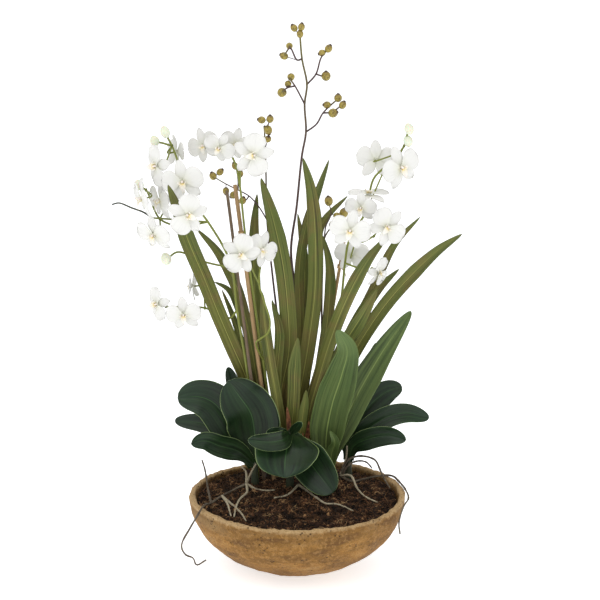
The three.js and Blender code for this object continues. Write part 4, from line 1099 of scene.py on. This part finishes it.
def make_flower_stems():
    """Flower stems with their branches, the stalks behind the blooms, and closed buds."""
    for name, stem in FLOWER_STEMS.items():
        lines = lines_of(stem)
        foot = lines[0][0] - np.array([0, 0, STEM_FOOT])
        forms = [rod([foot, *lines[0]], thins(*THIN["stem"]), rows=90, sides=9)]
        for k, line in enumerate(lines[1:], 1):
            if k == stem.get("twig"):
                forms.append(rod(line[:2], thins(*THIN["twig_foot"]), rows=8, sides=7))
                forms.append(rod(line[1:], thins(*THIN["twig"]), rows=30, sides=7, material=2))
            else:
                forms.append(rod(line, thins(*THIN["branch"]), rows=30, sides=7))
        for bloom, k, share in stem["blooms"]:
            start = lines[k][int(share * (len(lines[k]) - 1) + 0.5)]
            ends = [start, bloom_back(bloom, STALK_BEND), bloom_back(bloom, BLOOM_BACK)]
            forms.append(rod(ends, lambda share: 1.35 + 0.15 * share**6, rows=14, sides=6))
            forms.append(egg(start, (0.3, -0.2, 1), *ROUND["stalk_joint"], 8, 6, point=0.3, tone=0.5))
        for at, length, width in stem["buds"]:
            bud = egg(place(*at), (-0.3, 0, 1), length, width, 20, 14, ribs=0.03, point=0.12, material=1)
            forms.append(bud)
        add_piece(name + "_fine", name, forms, [FLOWER_STEM, BUD, DRY_TWIG])


def make_berry_sprays():
    """Berry sprays: a stem with twigs, and ribbed berries with a dark crown at their ends."""
    for name, spray in BERRY_SPRAYS.items():
        low, high = spray["thick"]
        main = [crown_of(spray["foot"]), *(place(*at) for at in spray["lines"][0])]
        joints = list(main)
        foot = main[0] - np.array([0, 0, STEM_FOOT])
        forms = [rod([foot, *main], thins(low, low - high), rows=80, sides=8)]
        for line in spray["lines"][1:]:
            points = [place(*at) for at in line]
            points = [nearest(joints, points[0]), *points[1:]]
            forms.append(rod(points, thins(high, 0.25), rows=22, sides=6, tone=0.6))
            joints += points
        for k, (across, down, length, width) in enumerate(spray["berries"]):
            depth = nearest(joints, place(across, down, joints[-1][1]))[1]
            centre = place(across, down, depth)
            start = nearest(joints, centre)
            axis = centre - start + np.array([0, 0, 2.0])
            tone = math.sin(7.3 * k)
            forms.append(egg(centre, axis, length, width, 20, 14, ribs=0.02, material=1, tone=tone))
            crown = centre + unit(axis) * length * 0.47
            forms.append(egg(crown, axis, *ROUND["calyx"], 10, 5, ribs=0.2, material=2))
            if np.linalg.norm(centre - start) > width * 0.42:
                forms.append(rod([start, centre], thins(*THIN["berry_stalk"]), rows=4, sides=5, tone=0.6))
        add_piece(name + "_fine", name, forms, [BERRY_STEM, BERRY, CALYX])


def stake_ends(stake):
    """The lower end of a stake in its hole, and its top."""
    low = np.array([*stake["foot"], SOIL["crown"] - PEG_DEPTH])
    return low, place(*stake["top"])


def make_stakes():
    """Bamboo stakes: 0.93 of the radius, and in a bell at each knot the rest of it, a little flattened
    on one side."""
    for number, (name, stake) in enumerate(STAKES.items()):
        low, high = stake_ends(stake)
        share = np.linspace(0, 1, 120)
        centre = low + (high - low) * share[:, None]
        along = np.tile(unit(high - low), (120, 1))
        length = np.linalg.norm(high - low)
        knot = np.exp(-((((share * length) % KNOT_STEP - KNOT_STEP / 2) / 2.2) ** 2))
        radius = stake["radius"] * (0.93 + 0.07 * knot)
        angle = np.linspace(0, 2 * math.pi, 14, endpoint=False)
        flat = 1 - 0.1 * np.clip(np.cos(angle + number), 0, 1) ** 4
        forms = [tube(centre, along, radius[:, None] * flat, 14, tone=stake["tone"])]
        add_piece(name + "_fine", name, forms, [BAMBOO])


def make_ties():
    """Raffia ties: a coil, which is a circle of three and a half turns carried along the stake, a knot
    and two loose ends."""
    for name, tie in TIES.items():
        stake = STAKES[tie["stake"]]
        low, high = stake_ends(stake)
        along = unit(high - low)
        middle = low + (high - low) * tie["share"]
        across = unit(np.cross([0, 1, 0], along))
        other = np.cross(along, across)
        turn = np.linspace(0, 7 * math.pi, 43)
        reach = stake["radius"] + 0.9
        coil = middle + (turn / turn[-1] * 6 - 3)[:, None] * along
        coil = coil + reach * (np.cos(turn)[:, None] * across + np.sin(turn)[:, None] * other)
        forms = [rod(coil, lambda share: 0.8 + 0.12 * np.sin(40 * share), rows=150, sides=6)]
        start = middle + np.array([0, -stake["radius"] - 1.4, 0])
        forms.append(egg(start, (1, 0, 0.4), *ROUND["straw_knot"], 8, 6))
        for k, end in enumerate(tie["ends"]):
            goal = place(*end)
            bow = (start + goal) / 2 + np.array([2.0 - 3.0 * k, -1.5, 2.5])
            forms.append(rod([start, bow, goal], thins(*THIN["straw_end"]), rows=16, sides=5))
        add_piece(name + "_fine", name, forms, [RAFFIA])


def make_roots():
    """Roots: knobbly rods that leave the foot or the main root and thin out to their ends."""
    for number, (name, roots) in enumerate(ROOTS.items()):
        forms = [sheath(roots["foot"], roots["foot"][2], PEG_TOP)]
        for k, line in enumerate(lines_of(roots)):

            def knobs(share, k=k):
                """A radius that thins evenly, with two rows of knobs as sines of the share."""
                return (2.2 - 1.0 * share) * (1 + 0.1 * np.sin(47 * share + k) + 0.08 * np.sin(90 * share))

            dark = k in roots["dark"]
            tone = 0.9 if dark else -0.6 + 0.4 * math.sin(2.9 * k + number)
            forms.append(rod(line, knobs, rows=70 if k == 0 else 36, sides=8, tone=tone))
        add_piece(name + "_fine", name, forms, [ROOT, DRY_SHEATH])


def linear(hex_colour):
    """A colour written as sRGB hex, as linear red, green, blue and 1."""
    parts = np.array([int(hex_colour[k : k + 2], 16) / 255 for k in (0, 2, 4)])
    bright = np.where(parts <= 0.04045, parts / 12.92, ((parts + 0.055) / 1.055) ** 2.4)
    return (*bright.tolist(), 1.0)


# Settings of the shader nodes.
TIMES = {"operation": "MULTIPLY"}
TIMES_PLUS = {"operation": "MULTIPLY_ADD"}
MINUS = {"operation": "SUBTRACT"}
SIZE_OF = {"operation": "ABSOLUTE"}
SMOOTH_STEP = {"interpolation_type": "SMOOTHSTEP"}
MIXED = {"data_type": "RGBA", "blend_type": "MIX"}
GLAZED = {"data_type": "RGBA", "blend_type": "MULTIPLY"}


def add(tree, kind, settings=None, sockets=None, output=0):
    """Adds a shader node with its settings, fills its input sockets with values, hex colours or links,
    and gives one of its outputs. The setting stops gives a colour ramp its places and hex colours."""
    new = tree.nodes.new("ShaderNode" + kind)
    for key, value in (settings or {}).items():
        if key != "stops":
            setattr(new, key, value)
            continue
        ramp = new.color_ramp
        while len(ramp.elements) < len(value):
            ramp.elements.new(0.5)
        for element, (position, colour) in zip(ramp.elements, value):
            element.position = position
            element.color = linear(colour)
    for key, value in (sockets or {}).items():
        if isinstance(value, bpy.types.NodeSocket):
            tree.links.new(value, new.inputs[key])
        else:
            new.inputs[key].default_value = linear(value) if isinstance(value, str) else value
    return new.outputs[output]


def finish_named(name, **values):
    """A new material with its shader's plain values, its node tree, and the three parts of the marks."""
    material = bpy.data.materials.new(name)
    material.use_nodes = True
    tree = material.node_tree
    shader = tree.nodes["Principled BSDF"]
    for key, value in values.items():
        shader.inputs[key.replace("_", " ")].default_value = value
    mark = add(tree, "Attribute", {"attribute_name": "mark"}, None, "Vector")
    return material, tree, tuple(add(tree, "SeparateXYZ", None, {0: mark}).node.outputs)


def painted(material, colour, height=None, relief=0.0, strength=1.0):
    """The material with a colour on its shader, and a relief of so many millimetres where it has one."""
    tree = material.node_tree
    shader = tree.nodes["Principled BSDF"]
    tree.links.new(colour, shader.inputs["Base Color"])
    if height is not None:
        sockets = {"Height": height, "Distance": relief * MM, "Strength": strength}
        tree.links.new(add(tree, "Bump", None, sockets), shader.inputs["Normal"])
    return material


def stained(tree, run, colour, amount, field, low, high):
    """The colour so far, turned towards another by up to an amount, while a field goes smoothly from
    low to high. With low above high it turns where the field is small."""
    sockets = {"Value": field, "From Min": low, "From Max": high, "To Max": amount}
    share = add(tree, "MapRange", SMOOTH_STEP, sockets)
    return add(tree, "Mix", MIXED, {0: share, 6: run, 7: colour}, 2)


def grains(vector, size, detail=3.0, roughness=0.55):
    """The inputs of a noise on places in metres, with grains of about so many millimetres."""
    return {"Vector": vector, "Scale": 1 / (size * MM), "Detail": detail, "Roughness": roughness}


def along_piece(tree, mark, around, lengthwise, shift=1.0):
    """A vector for veins and fibres: how many lie around or across the piece, how many one after the
    other along it, and a shift by the piece's tone, so that no two are alike."""
    sizes = enumerate(zip(mark, (around, lengthwise, shift)))
    sockets = {k: add(tree, "Math", TIMES, {0: part, 1: size}) for k, (part, size) in sizes}
    return add(tree, "CombineXYZ", None, sockets)


# How often a leaf's vein wanders along its blade, how far the next blade's veins are shifted, and
# the width of the mottling in millimetres, drawn coarser than real so that it shows.
VEIN_RUN = 2.2
VEIN_SHIFT = 7.0
LEAF_MOTTLE = 38.5


def leaf_finish(name, stops, patch, midrib, edge, half, vein, rib, rim, relief, **values):
    """A printed and pressed leaf: parallel veins that follow the blade, a midrib line, a paler edge,
    and a colour that runs from the base to the tip. Half is half a blade's width and vein the spacing
    of its veins in millimetres. The midrib and the edge are as wide as shares of half a blade."""
    material, tree, mark = finish_named(name, **values)
    across, share, tone = mark
    width = add(tree, "Math", SIZE_OF, {0: across})
    stripes = along_piece(tree, mark, half / vein, VEIN_RUN, VEIN_SHIFT)
    fine = add(tree, "TexNoise", None, {"Vector": stripes, "Scale": 1.0, "Detail": 4.0, "Roughness": 0.6})
    broad = add(tree, "TexNoise", None, {"Vector": stripes, "Scale": 0.32, "Detail": 2.0, "Roughness": 0.5})
    mottle = add(tree, "TexNoise", None, grains(add(tree, "TexCoord", output="Object"), LEAF_MOTTLE))
    run = add(tree, "ValToRGB", {"stops": stops}, {0: share})
    run = stained(tree, run, patch, 0.6, mottle, 0.45, 0.65)
    dark = add(tree, "MapRange", SMOOTH_STEP, {"Value": fine, "From Min": 0.38, "From Max": 0.7})
    deep = add(tree, "Mix", GLAZED, {0: dark, 6: run, 7: "1c2410"}, 2)
    run = stained(tree, run, deep, 0.6, fine, 0.4, 0.68)
    light = add(tree, "Mix", MIXED, {0: 0.5, 6: run, 7: midrib}, 2)
    run = stained(tree, run, light, 0.5, broad, 0.45, 0.72)
    shade = add(tree, "Math", TIMES_PLUS, {0: tone, 1: 0.09, 2: 0.96})
    uneven = add(tree, "Math", TIMES_PLUS, {0: mottle, 1: 0.24, 2: 0.88})
    level = add(tree, "Math", TIMES, {0: shade, 1: uneven})
    run = add(tree, "Mix", GLAZED, {0: 1.0, 6: run, 7: level}, 2)
    sockets = {"Value": share, "From Min": 1.0, "From Max": 0.75, "To Max": 0.85}
    rib_ends = add(tree, "MapRange", SMOOTH_STEP, sockets)
    run = stained(tree, run, midrib, rib_ends, width, rib, 0.3 * rib)
    run = stained(tree, run, edge, 0.85, width, 1 - rim, 1 - 0.4 * rim)
    return painted(material, run, fine, relief, 0.7)


def make_strap_leaf():
    """Satin silk strap leaf, printed and pressed: olive, browner at the base, with a thin bright
    midrib, so that it looks soft and ribbed, with little shine."""
    return leaf_finish(
        "silk_strap_leaf",
        [(0.0, "4e3a1e"), (0.14, "5c5224"), (0.45, "62652a"), (0.8, "59632c"), (1.0, "616a34")],
        patch="6a5a30",
        midrib="98964e",
        edge="454a22",
        half=11.2,
        vein=1.6,
        rib=0.055,
        rim=0.05,
        relief=0.6,
        Roughness=0.55,
        Specular_IOR_Level=0.25,
    )


def make_lance_leaf():
    """Satin silk lance leaf, printed and pressed: fresh green with parallel veins and a lighter tip."""
    return leaf_finish(
        "silk_lance_leaf",
        [(0.0, "3c421f"), (0.3, "47562a"), (0.7, "4e6230"), (1.0, "657a46")],
        patch="465a2e",
        midrib="7c8c4e",
        edge="6c8044",
        half=24.0,
        vein=2.0,
        rib=0.05,
        rim=0.04,
        relief=0.6,
        Roughness=0.5,
        Specular_IOR_Level=0.25,
    )


def make_orchid_leaf():
    """Orchid leaf, moulded and dipped in wax: very dark green with a soft gloss, fine veins and a pale
    green edge."""
    return leaf_finish(
        "waxy_orchid_leaf",
        [(0.0, "263a1c"), (0.3, "182a15"), (0.75, "172b16"), (1.0, "1e3421")],
        patch="22301a",
        midrib="3a5a30",
        edge="8ea268",
        half=40.0,
        vein=2.5,
        rib=0.022,
        rim=0.034,
        relief=0.3,
        Roughness=0.31,
        Specular_IOR_Level=0.27,
    )


def make_petal_white():
    """White silk petal, cut and steamed over a form, thin enough to let light in: faint grey veins
    that fan out every 3 mm or so, and a breath of green at the throat."""
    material, tree, mark = finish_named(
        "white_silk_petal",
        Roughness=0.6,
        Specular_IOR_Level=0.3,
        Subsurface_Weight=0.25,
        Subsurface_Radius=(1.0, 1.0, 1.0),
        Subsurface_Scale=1.5 * MM,
        Sheen_Weight=0.15,
    )
    half, vein, length, run = 17.6, 3.2, 36.0, 30.0
    fan = along_piece(tree, mark, half / vein, length / run)
    veins = add(tree, "TexNoise", None, {"Vector": fan, "Scale": 1.3, "Detail": 3.0, "Roughness": 0.6})
    stops = [(0.0, "ccceb4"), (0.2, "dadacf"), (0.5, "dfdeda")]
    throat = add(tree, "ValToRGB", {"stops": stops}, {0: mark[1]})
    return painted(material, stained(tree, throat, "c6c6c3", 0.35, veins, 0.5, 0.75), veins, 0.25, 0.6)


def make_lip():
    """Lip of the bloom, cut from dyed silk: yellow in its throat, white outside, brushed with pink in
    spots of 2 to 3 mm between them."""
    material, tree, mark = finish_named("yellow_lip", Roughness=0.55, Specular_IOR_Level=0.3)
    stops = [(0.0, "e6d190"), (0.3, "ede5c4"), (0.6, "ebe6d8"), (1.0, "ecebe6")]
    run = add(tree, "ValToRGB", {"stops": stops}, {0: mark[1]})
    spots = add(tree, "TexNoise", None, grains(add(tree, "TexCoord", output="Object"), 2.381, 1.0))
    return painted(material, stained(tree, run, "dcb4ae", 0.35, spots, 0.56, 0.66))


def plain_finish(name, first, second, patch, roughness, relief, **values):
    """A finish that wanders between two colours in patches of so many millimetres, with relief."""
    material, tree, _ = finish_named(name, Roughness=roughness, **values)
    patches = add(tree, "TexNoise", None, grains(add(tree, "TexCoord", output="Object"), patch, 4.0, 0.6))
    return painted(material, stained(tree, first, second, 1.0, patches, 0.35, 0.65), patches, relief, 0.6)


def make_berry_stem():
    """Wire twig wrapped in paper tape: purple brown low down, olive towards its ends, with the fine
    lengthwise grain of the tape."""
    material, tree, mark = finish_named("wrapped_twig", Roughness=0.6, Specular_IOR_Level=0.3)
    girth, fibre, length, streak = 7.5, 2.5, 480.0, 12.0
    vector = along_piece(tree, mark, girth / fibre, length / streak)
    grain = add(tree, "TexNoise", None, {"Vector": vector, "Scale": 1.0, "Detail": 4.0, "Roughness": 0.65})
    stops = [(0.0, "4c3a3a"), (0.74, "5a4540"), (0.9, "665b38"), (1.0, "77733e")]
    run = add(tree, "ValToRGB", {"stops": stops}, {0: mark[1]})
    return painted(material, stained(tree, run, "362a26", 0.4, grain, 0.4, 0.6), grain, 0.4, 0.8)


def make_berry():
    """Foam berry dipped in lacquer: olive gold, browner towards its tip, with flecks of 4 mm or less
    and a small soft highlight."""
    material, tree, mark = finish_named("lacquered_olive_berry", Roughness=0.36)
    flecks = grains(add(tree, "TexCoord", output="Object"), 3.846, 4.0, 0.65)
    flecks = add(tree, "TexNoise", None, flecks)
    stops = [(0.0, "6a5c26"), (0.3, "a08f3c"), (0.7, "94803a"), (0.9, "4c3519")]
    run = add(tree, "ValToRGB", {"stops": stops}, {0: mark[1]})
    return painted(material, stained(tree, run, "554418", 0.75, flecks, 0.5, 0.6))


def make_clay():
    """Rough unglazed clay, built by hand and fired: ochre with brown stains in broad bands, a paler
    worn rim and small dark pits, so that it looks old. The pits are drawn coarser than real grit."""
    material, tree, _ = finish_named("rough_ochre_clay", Roughness=0.82, Specular_IOR_Level=0.25)
    place_in = add(tree, "TexCoord", output="Object")
    flat = add(tree, "Mapping", None, {"Vector": place_in, "Scale": (1.0, 1.0, 3.2)})
    broad = add(tree, "TexNoise", None, grains(flat, 90.9, 4.0, 0.6))
    streaks = add(tree, "TexNoise", None, grains(flat, 29.41, 5.0, 0.7))
    mottle = add(tree, "TexNoise", None, grains(place_in, 6.667, 5.0, 0.7))
    fine = add(tree, "TexNoise", None, grains(place_in, 2.381, 4.0, 0.75))
    patchy = add(tree, "TexNoise", None, grains(place_in, 33.33, 2.0))
    stops = [(0.36, "6c4c26"), (0.46, "8c652f"), (0.54, "a27539"), (0.66, "b18a52")]
    run = add(tree, "ValToRGB", {"stops": stops}, {0: broad})
    run = stained(tree, run, "6a4a24", 0.45, streaks, 0.46, 0.66)
    run = stained(tree, run, "bb9158", 0.35, mottle, 0.48, 0.6)
    run = stained(tree, run, "5a3d1e", 0.5, fine, 0.5, 0.58)
    # The height on the bowl, made uneven by the mottle: painted shade that darkens the clay towards the
    # foot, where the wall turns under, dirt under the rim, wear on it.
    height = add(tree, "SeparateXYZ", None, {0: place_in}, 2)
    height = add(tree, "Math", TIMES_PLUS, {0: mottle, 1: 10 * MM, 2: height})
    # Painted shade: the clay darkens from 90 mm down to the foot.
    run = stained(tree, run, "6e4c24", 0.45, height, 90 * MM, 10 * MM)
    for colour, amount, low, high, field, start, end in (
        ("6f5a3c", 0.5, 92, 112, broad, 0.42, 0.55),
        ("c4a67a", 0.8, 121, 128, fine, 0.36, 0.5),
    ):
        sockets = {"Value": height, "From Min": low * MM, "From Max": high * MM, "To Max": amount}
        run = stained(tree, run, colour, add(tree, "MapRange", SMOOTH_STEP, sockets), field, start, end)
    cells = add(tree, "TexVoronoi", None, {"Vector": place_in, "Scale": 1 / (6.667 * MM)}, "Distance")
    gate = add(tree, "MapRange", SMOOTH_STEP, {"Value": patchy, "From Min": 0.5, "From Max": 0.62})
    sockets = {"Value": cells, "From Min": 0.3, "From Max": 0.12, "To Max": gate}
    pits = add(tree, "MapRange", SMOOTH_STEP, sockets)
    run = add(tree, "Mix", MIXED, {0: add(tree, "Math", TIMES, {0: pits, 1: 0.85}), 6: run, 7: "3f2a18"}, 2)
    rough = add(tree, "Math", TIMES_PLUS, {0: fine, 1: 0.5, 2: mottle})
    return painted(material, run, add(tree, "Math", MINUS, {0: rough, 1: pits}), 2.2)


def scrap_finish(name, stops, roughness):
    """Loose scraps, torn and dried, that each have a colour of their own by the tone in their marks. The
    soil bed's tone is its grain's height instead, which paints shade in its hollows.
    """
    material, tree, mark = finish_named(name, Roughness=roughness, Specular_IOR_Level=0.2)
    tone = add(tree, "Math", TIMES_PLUS, {0: mark[2], 1: 0.5, 2: 0.5})
    return painted(material, add(tree, "ValToRGB", {"stops": stops}, {0: tone}))


def wood_finish(name, light, dark, girth, fibre, length, streak, roughness):
    """Dry wood or straw: fibres that run along the piece, wandering between two colours, darker where
    the tone in its marks is high. The fibres' width and the length of a streak are in millimetres, as
    are the girth and the length of the piece that they lie on."""
    material, tree, mark = finish_named(name, Roughness=roughness, Specular_IOR_Level=0.3)
    vector = along_piece(tree, mark, girth / fibre, length / streak)
    grain = add(tree, "TexNoise", None, {"Vector": vector, "Scale": 1.0, "Detail": 4.0, "Roughness": 0.65})
    worn = add(tree, "Math", TIMES, {0: grain, 1: 0.9})
    tone = add(tree, "Math", TIMES_PLUS, {0: mark[2], 1: 0.35, 2: worn})
    return painted(material, stained(tree, light, dark, 1.0, tone, 0.1, 0.95), grain, 0.4, 0.8)


CLAY = make_clay()

# Loose scraps have a ramp from their darkest to their lightest colour, and a roughness.
# The bed's ramp runs over its grain's height: its dark end is painted shade in the hollows.
SOIL_DARK = scrap_finish("dark_coir_bed", [(0.2, "120b08"), (0.8, "2a1a12")], 1.0)
BARK = scrap_finish("bark_chip", [(0.0, "110d09"), (0.5, "30231a"), (0.8, "5a3c28"), (1.0, "94704c")], 0.9)
COIR = scrap_finish("coir_fibre", [(0.0, "17110c"), (0.5, "44301f"), (0.8, "7c5638"), (1.0, "b8986e")], 0.85)

STRAP_LEAF = make_strap_leaf()
LANCE_LEAF = make_lance_leaf()
ORCHID_LEAF = make_orchid_leaf()
PETAL_WHITE = make_petal_white()
LIP = make_lip()
BERRY_STEM = make_berry_stem()
BERRY = make_berry()

# Plain finishes: two colours, the patches' width, roughness and relief.
DRY_SHEATH = plain_finish("dry_sheath", "463722", "2b2217", 6.25, 0.8, 0.5)
RUSTY_BRACT = plain_finish("rusty_bract", "94603c", "5a3420", 6.25, 0.7, 0.4)
LEAF_BASE = plain_finish("leaf_base", "24321c", "363a22", 8.333, 0.6, 0.4)
CALLUS = plain_finish("yellow_callus", "e6cb7c", "f0e2ac", 1.111, 0.5, 0.1)
COLUMN = plain_finish("blush_column", "f3ede7", "ecdbd4", 2.0, 0.5, 0.1)
BUD = plain_finish("closed_bud", "e0e2d0", "d6d9c0", 3.846, 0.5, 0.15, Subsurface_Weight=0.15)
DRY_TWIG = plain_finish("dry_twig", "4f5340", "34352a", 3.333, 0.8, 0.3)
CALYX = plain_finish("dark_calyx", "4a2f1e", "2e1d14", 1.667, 0.7, 0.2)

# Each has its two colours, its girth and its fibres' width, its length and its streaks', its roughness.
FLOWER_STEM = wood_finish("green_flower_stem", "8b9140", "56602c", 13.5, 4.5, 520, 20, 0.5)
BAMBOO = wood_finish("split_bamboo", "a98a62", "625344", 22.5, 4.5, 540, 18, 0.6)
RAFFIA = wood_finish("raffia_straw", "d3b484", "a5824f", 5.1, 1.7, 180, 20, 0.7)
ROOT = wood_finish("dry_root", "aa9f86", "463b31", 9.0, 3.0, 220, 10, 0.85)


def make_floor_white():
    """Plain white studio floor, with a glow of its own so that its far part stays as white as the near."""
    material = finish_named("white_floor", Roughness=0.9, Emission_Strength=0.64)[0]
    shader = material.node_tree.nodes["Principled BSDF"]
    shader.inputs["Base Color"].default_value = linear("f2f5f8")
    shader.inputs["Emission Color"].default_value = linear("ffffff")
    return material


# The studio, in metres and watts: the floor's reach, and each lamp's place, power, width and aim.
FLOOR_REACH = 20.0
DAYLIGHT = 0.7
LAMPS = {
    "key": {"spot": (-0.9, -1.7, 2.7), "watts": 31.0, "width": 2.8, "aim": (0, 0, 0.4)},
    "fill": {"spot": (1.9, -1.6, 1.4), "watts": 7.0, "width": 1.8, "aim": (0, 0, 0.4)},
    "top": {"spot": (0.3, 0.6, 2.8), "watts": 12.0, "width": 1.6, "aim": (0, 0, 0.3)},
}


def make_stage():
    """A plain pale floor under the bowl, and soft studio light from above, the left and the front."""
    scene = bpy.context.scene
    floor = bpy.data.meshes.new("floor")
    corners = [(-1, -1), (1, -1), (1, 1), (-1, 1)]
    floor.from_pydata([(FLOOR_REACH * x, FLOOR_REACH * y, 0) for x, y in corners], [], [(0, 1, 2, 3)])
    floor.materials.append(make_floor_white())
    ground = bpy.data.objects.new("floor", floor)
    scene.collection.objects.link(ground)
    world = bpy.data.worlds.new("studio")
    world.use_nodes = True
    background = world.node_tree.nodes["Background"]
    background.inputs["Color"].default_value = linear("ffffff")
    background.inputs["Strength"].default_value = DAYLIGHT
    scene.world = world
    scene.view_settings.view_transform = "Standard"
    for name, lamp in LAMPS.items():
        data = bpy.data.lights.new(name, "AREA")
        data.energy = lamp["watts"]
        data.size = lamp["width"]
        light = bpy.data.objects.new(name, data)
        light.location = lamp["spot"]
        way = Vector(lamp["aim"]) - light.location
        light.rotation_euler = way.to_track_quat("-Z", "Y").to_euler()
        scene.collection.objects.link(light)


def make_camera():
    """The camera at the layout's eye, with the lens whose focal length over the sensor is the view's."""
    data = bpy.data.cameras.new("camera")
    data.sensor_width = SENSOR
    data.lens = VIEW["focal"] / VIEW["picture"] * SENSOR
    data.clip_end = 50.0
    camera = bpy.data.objects.new("camera", data)
    camera.location = EYE * MM
    camera.rotation_euler = (math.pi / 2 - VIEW["tilt"], 0, 0)
    bpy.context.scene.collection.objects.link(camera)
    bpy.context.scene.camera = camera


make_bowl()
make_soil()
make_strap_clumps()
make_lance_clump()
make_rosettes()
make_blooms()
make_flower_stems()
make_berry_sprays()
make_stakes()
make_ties()
make_roots()
make_stage()
make_camera()
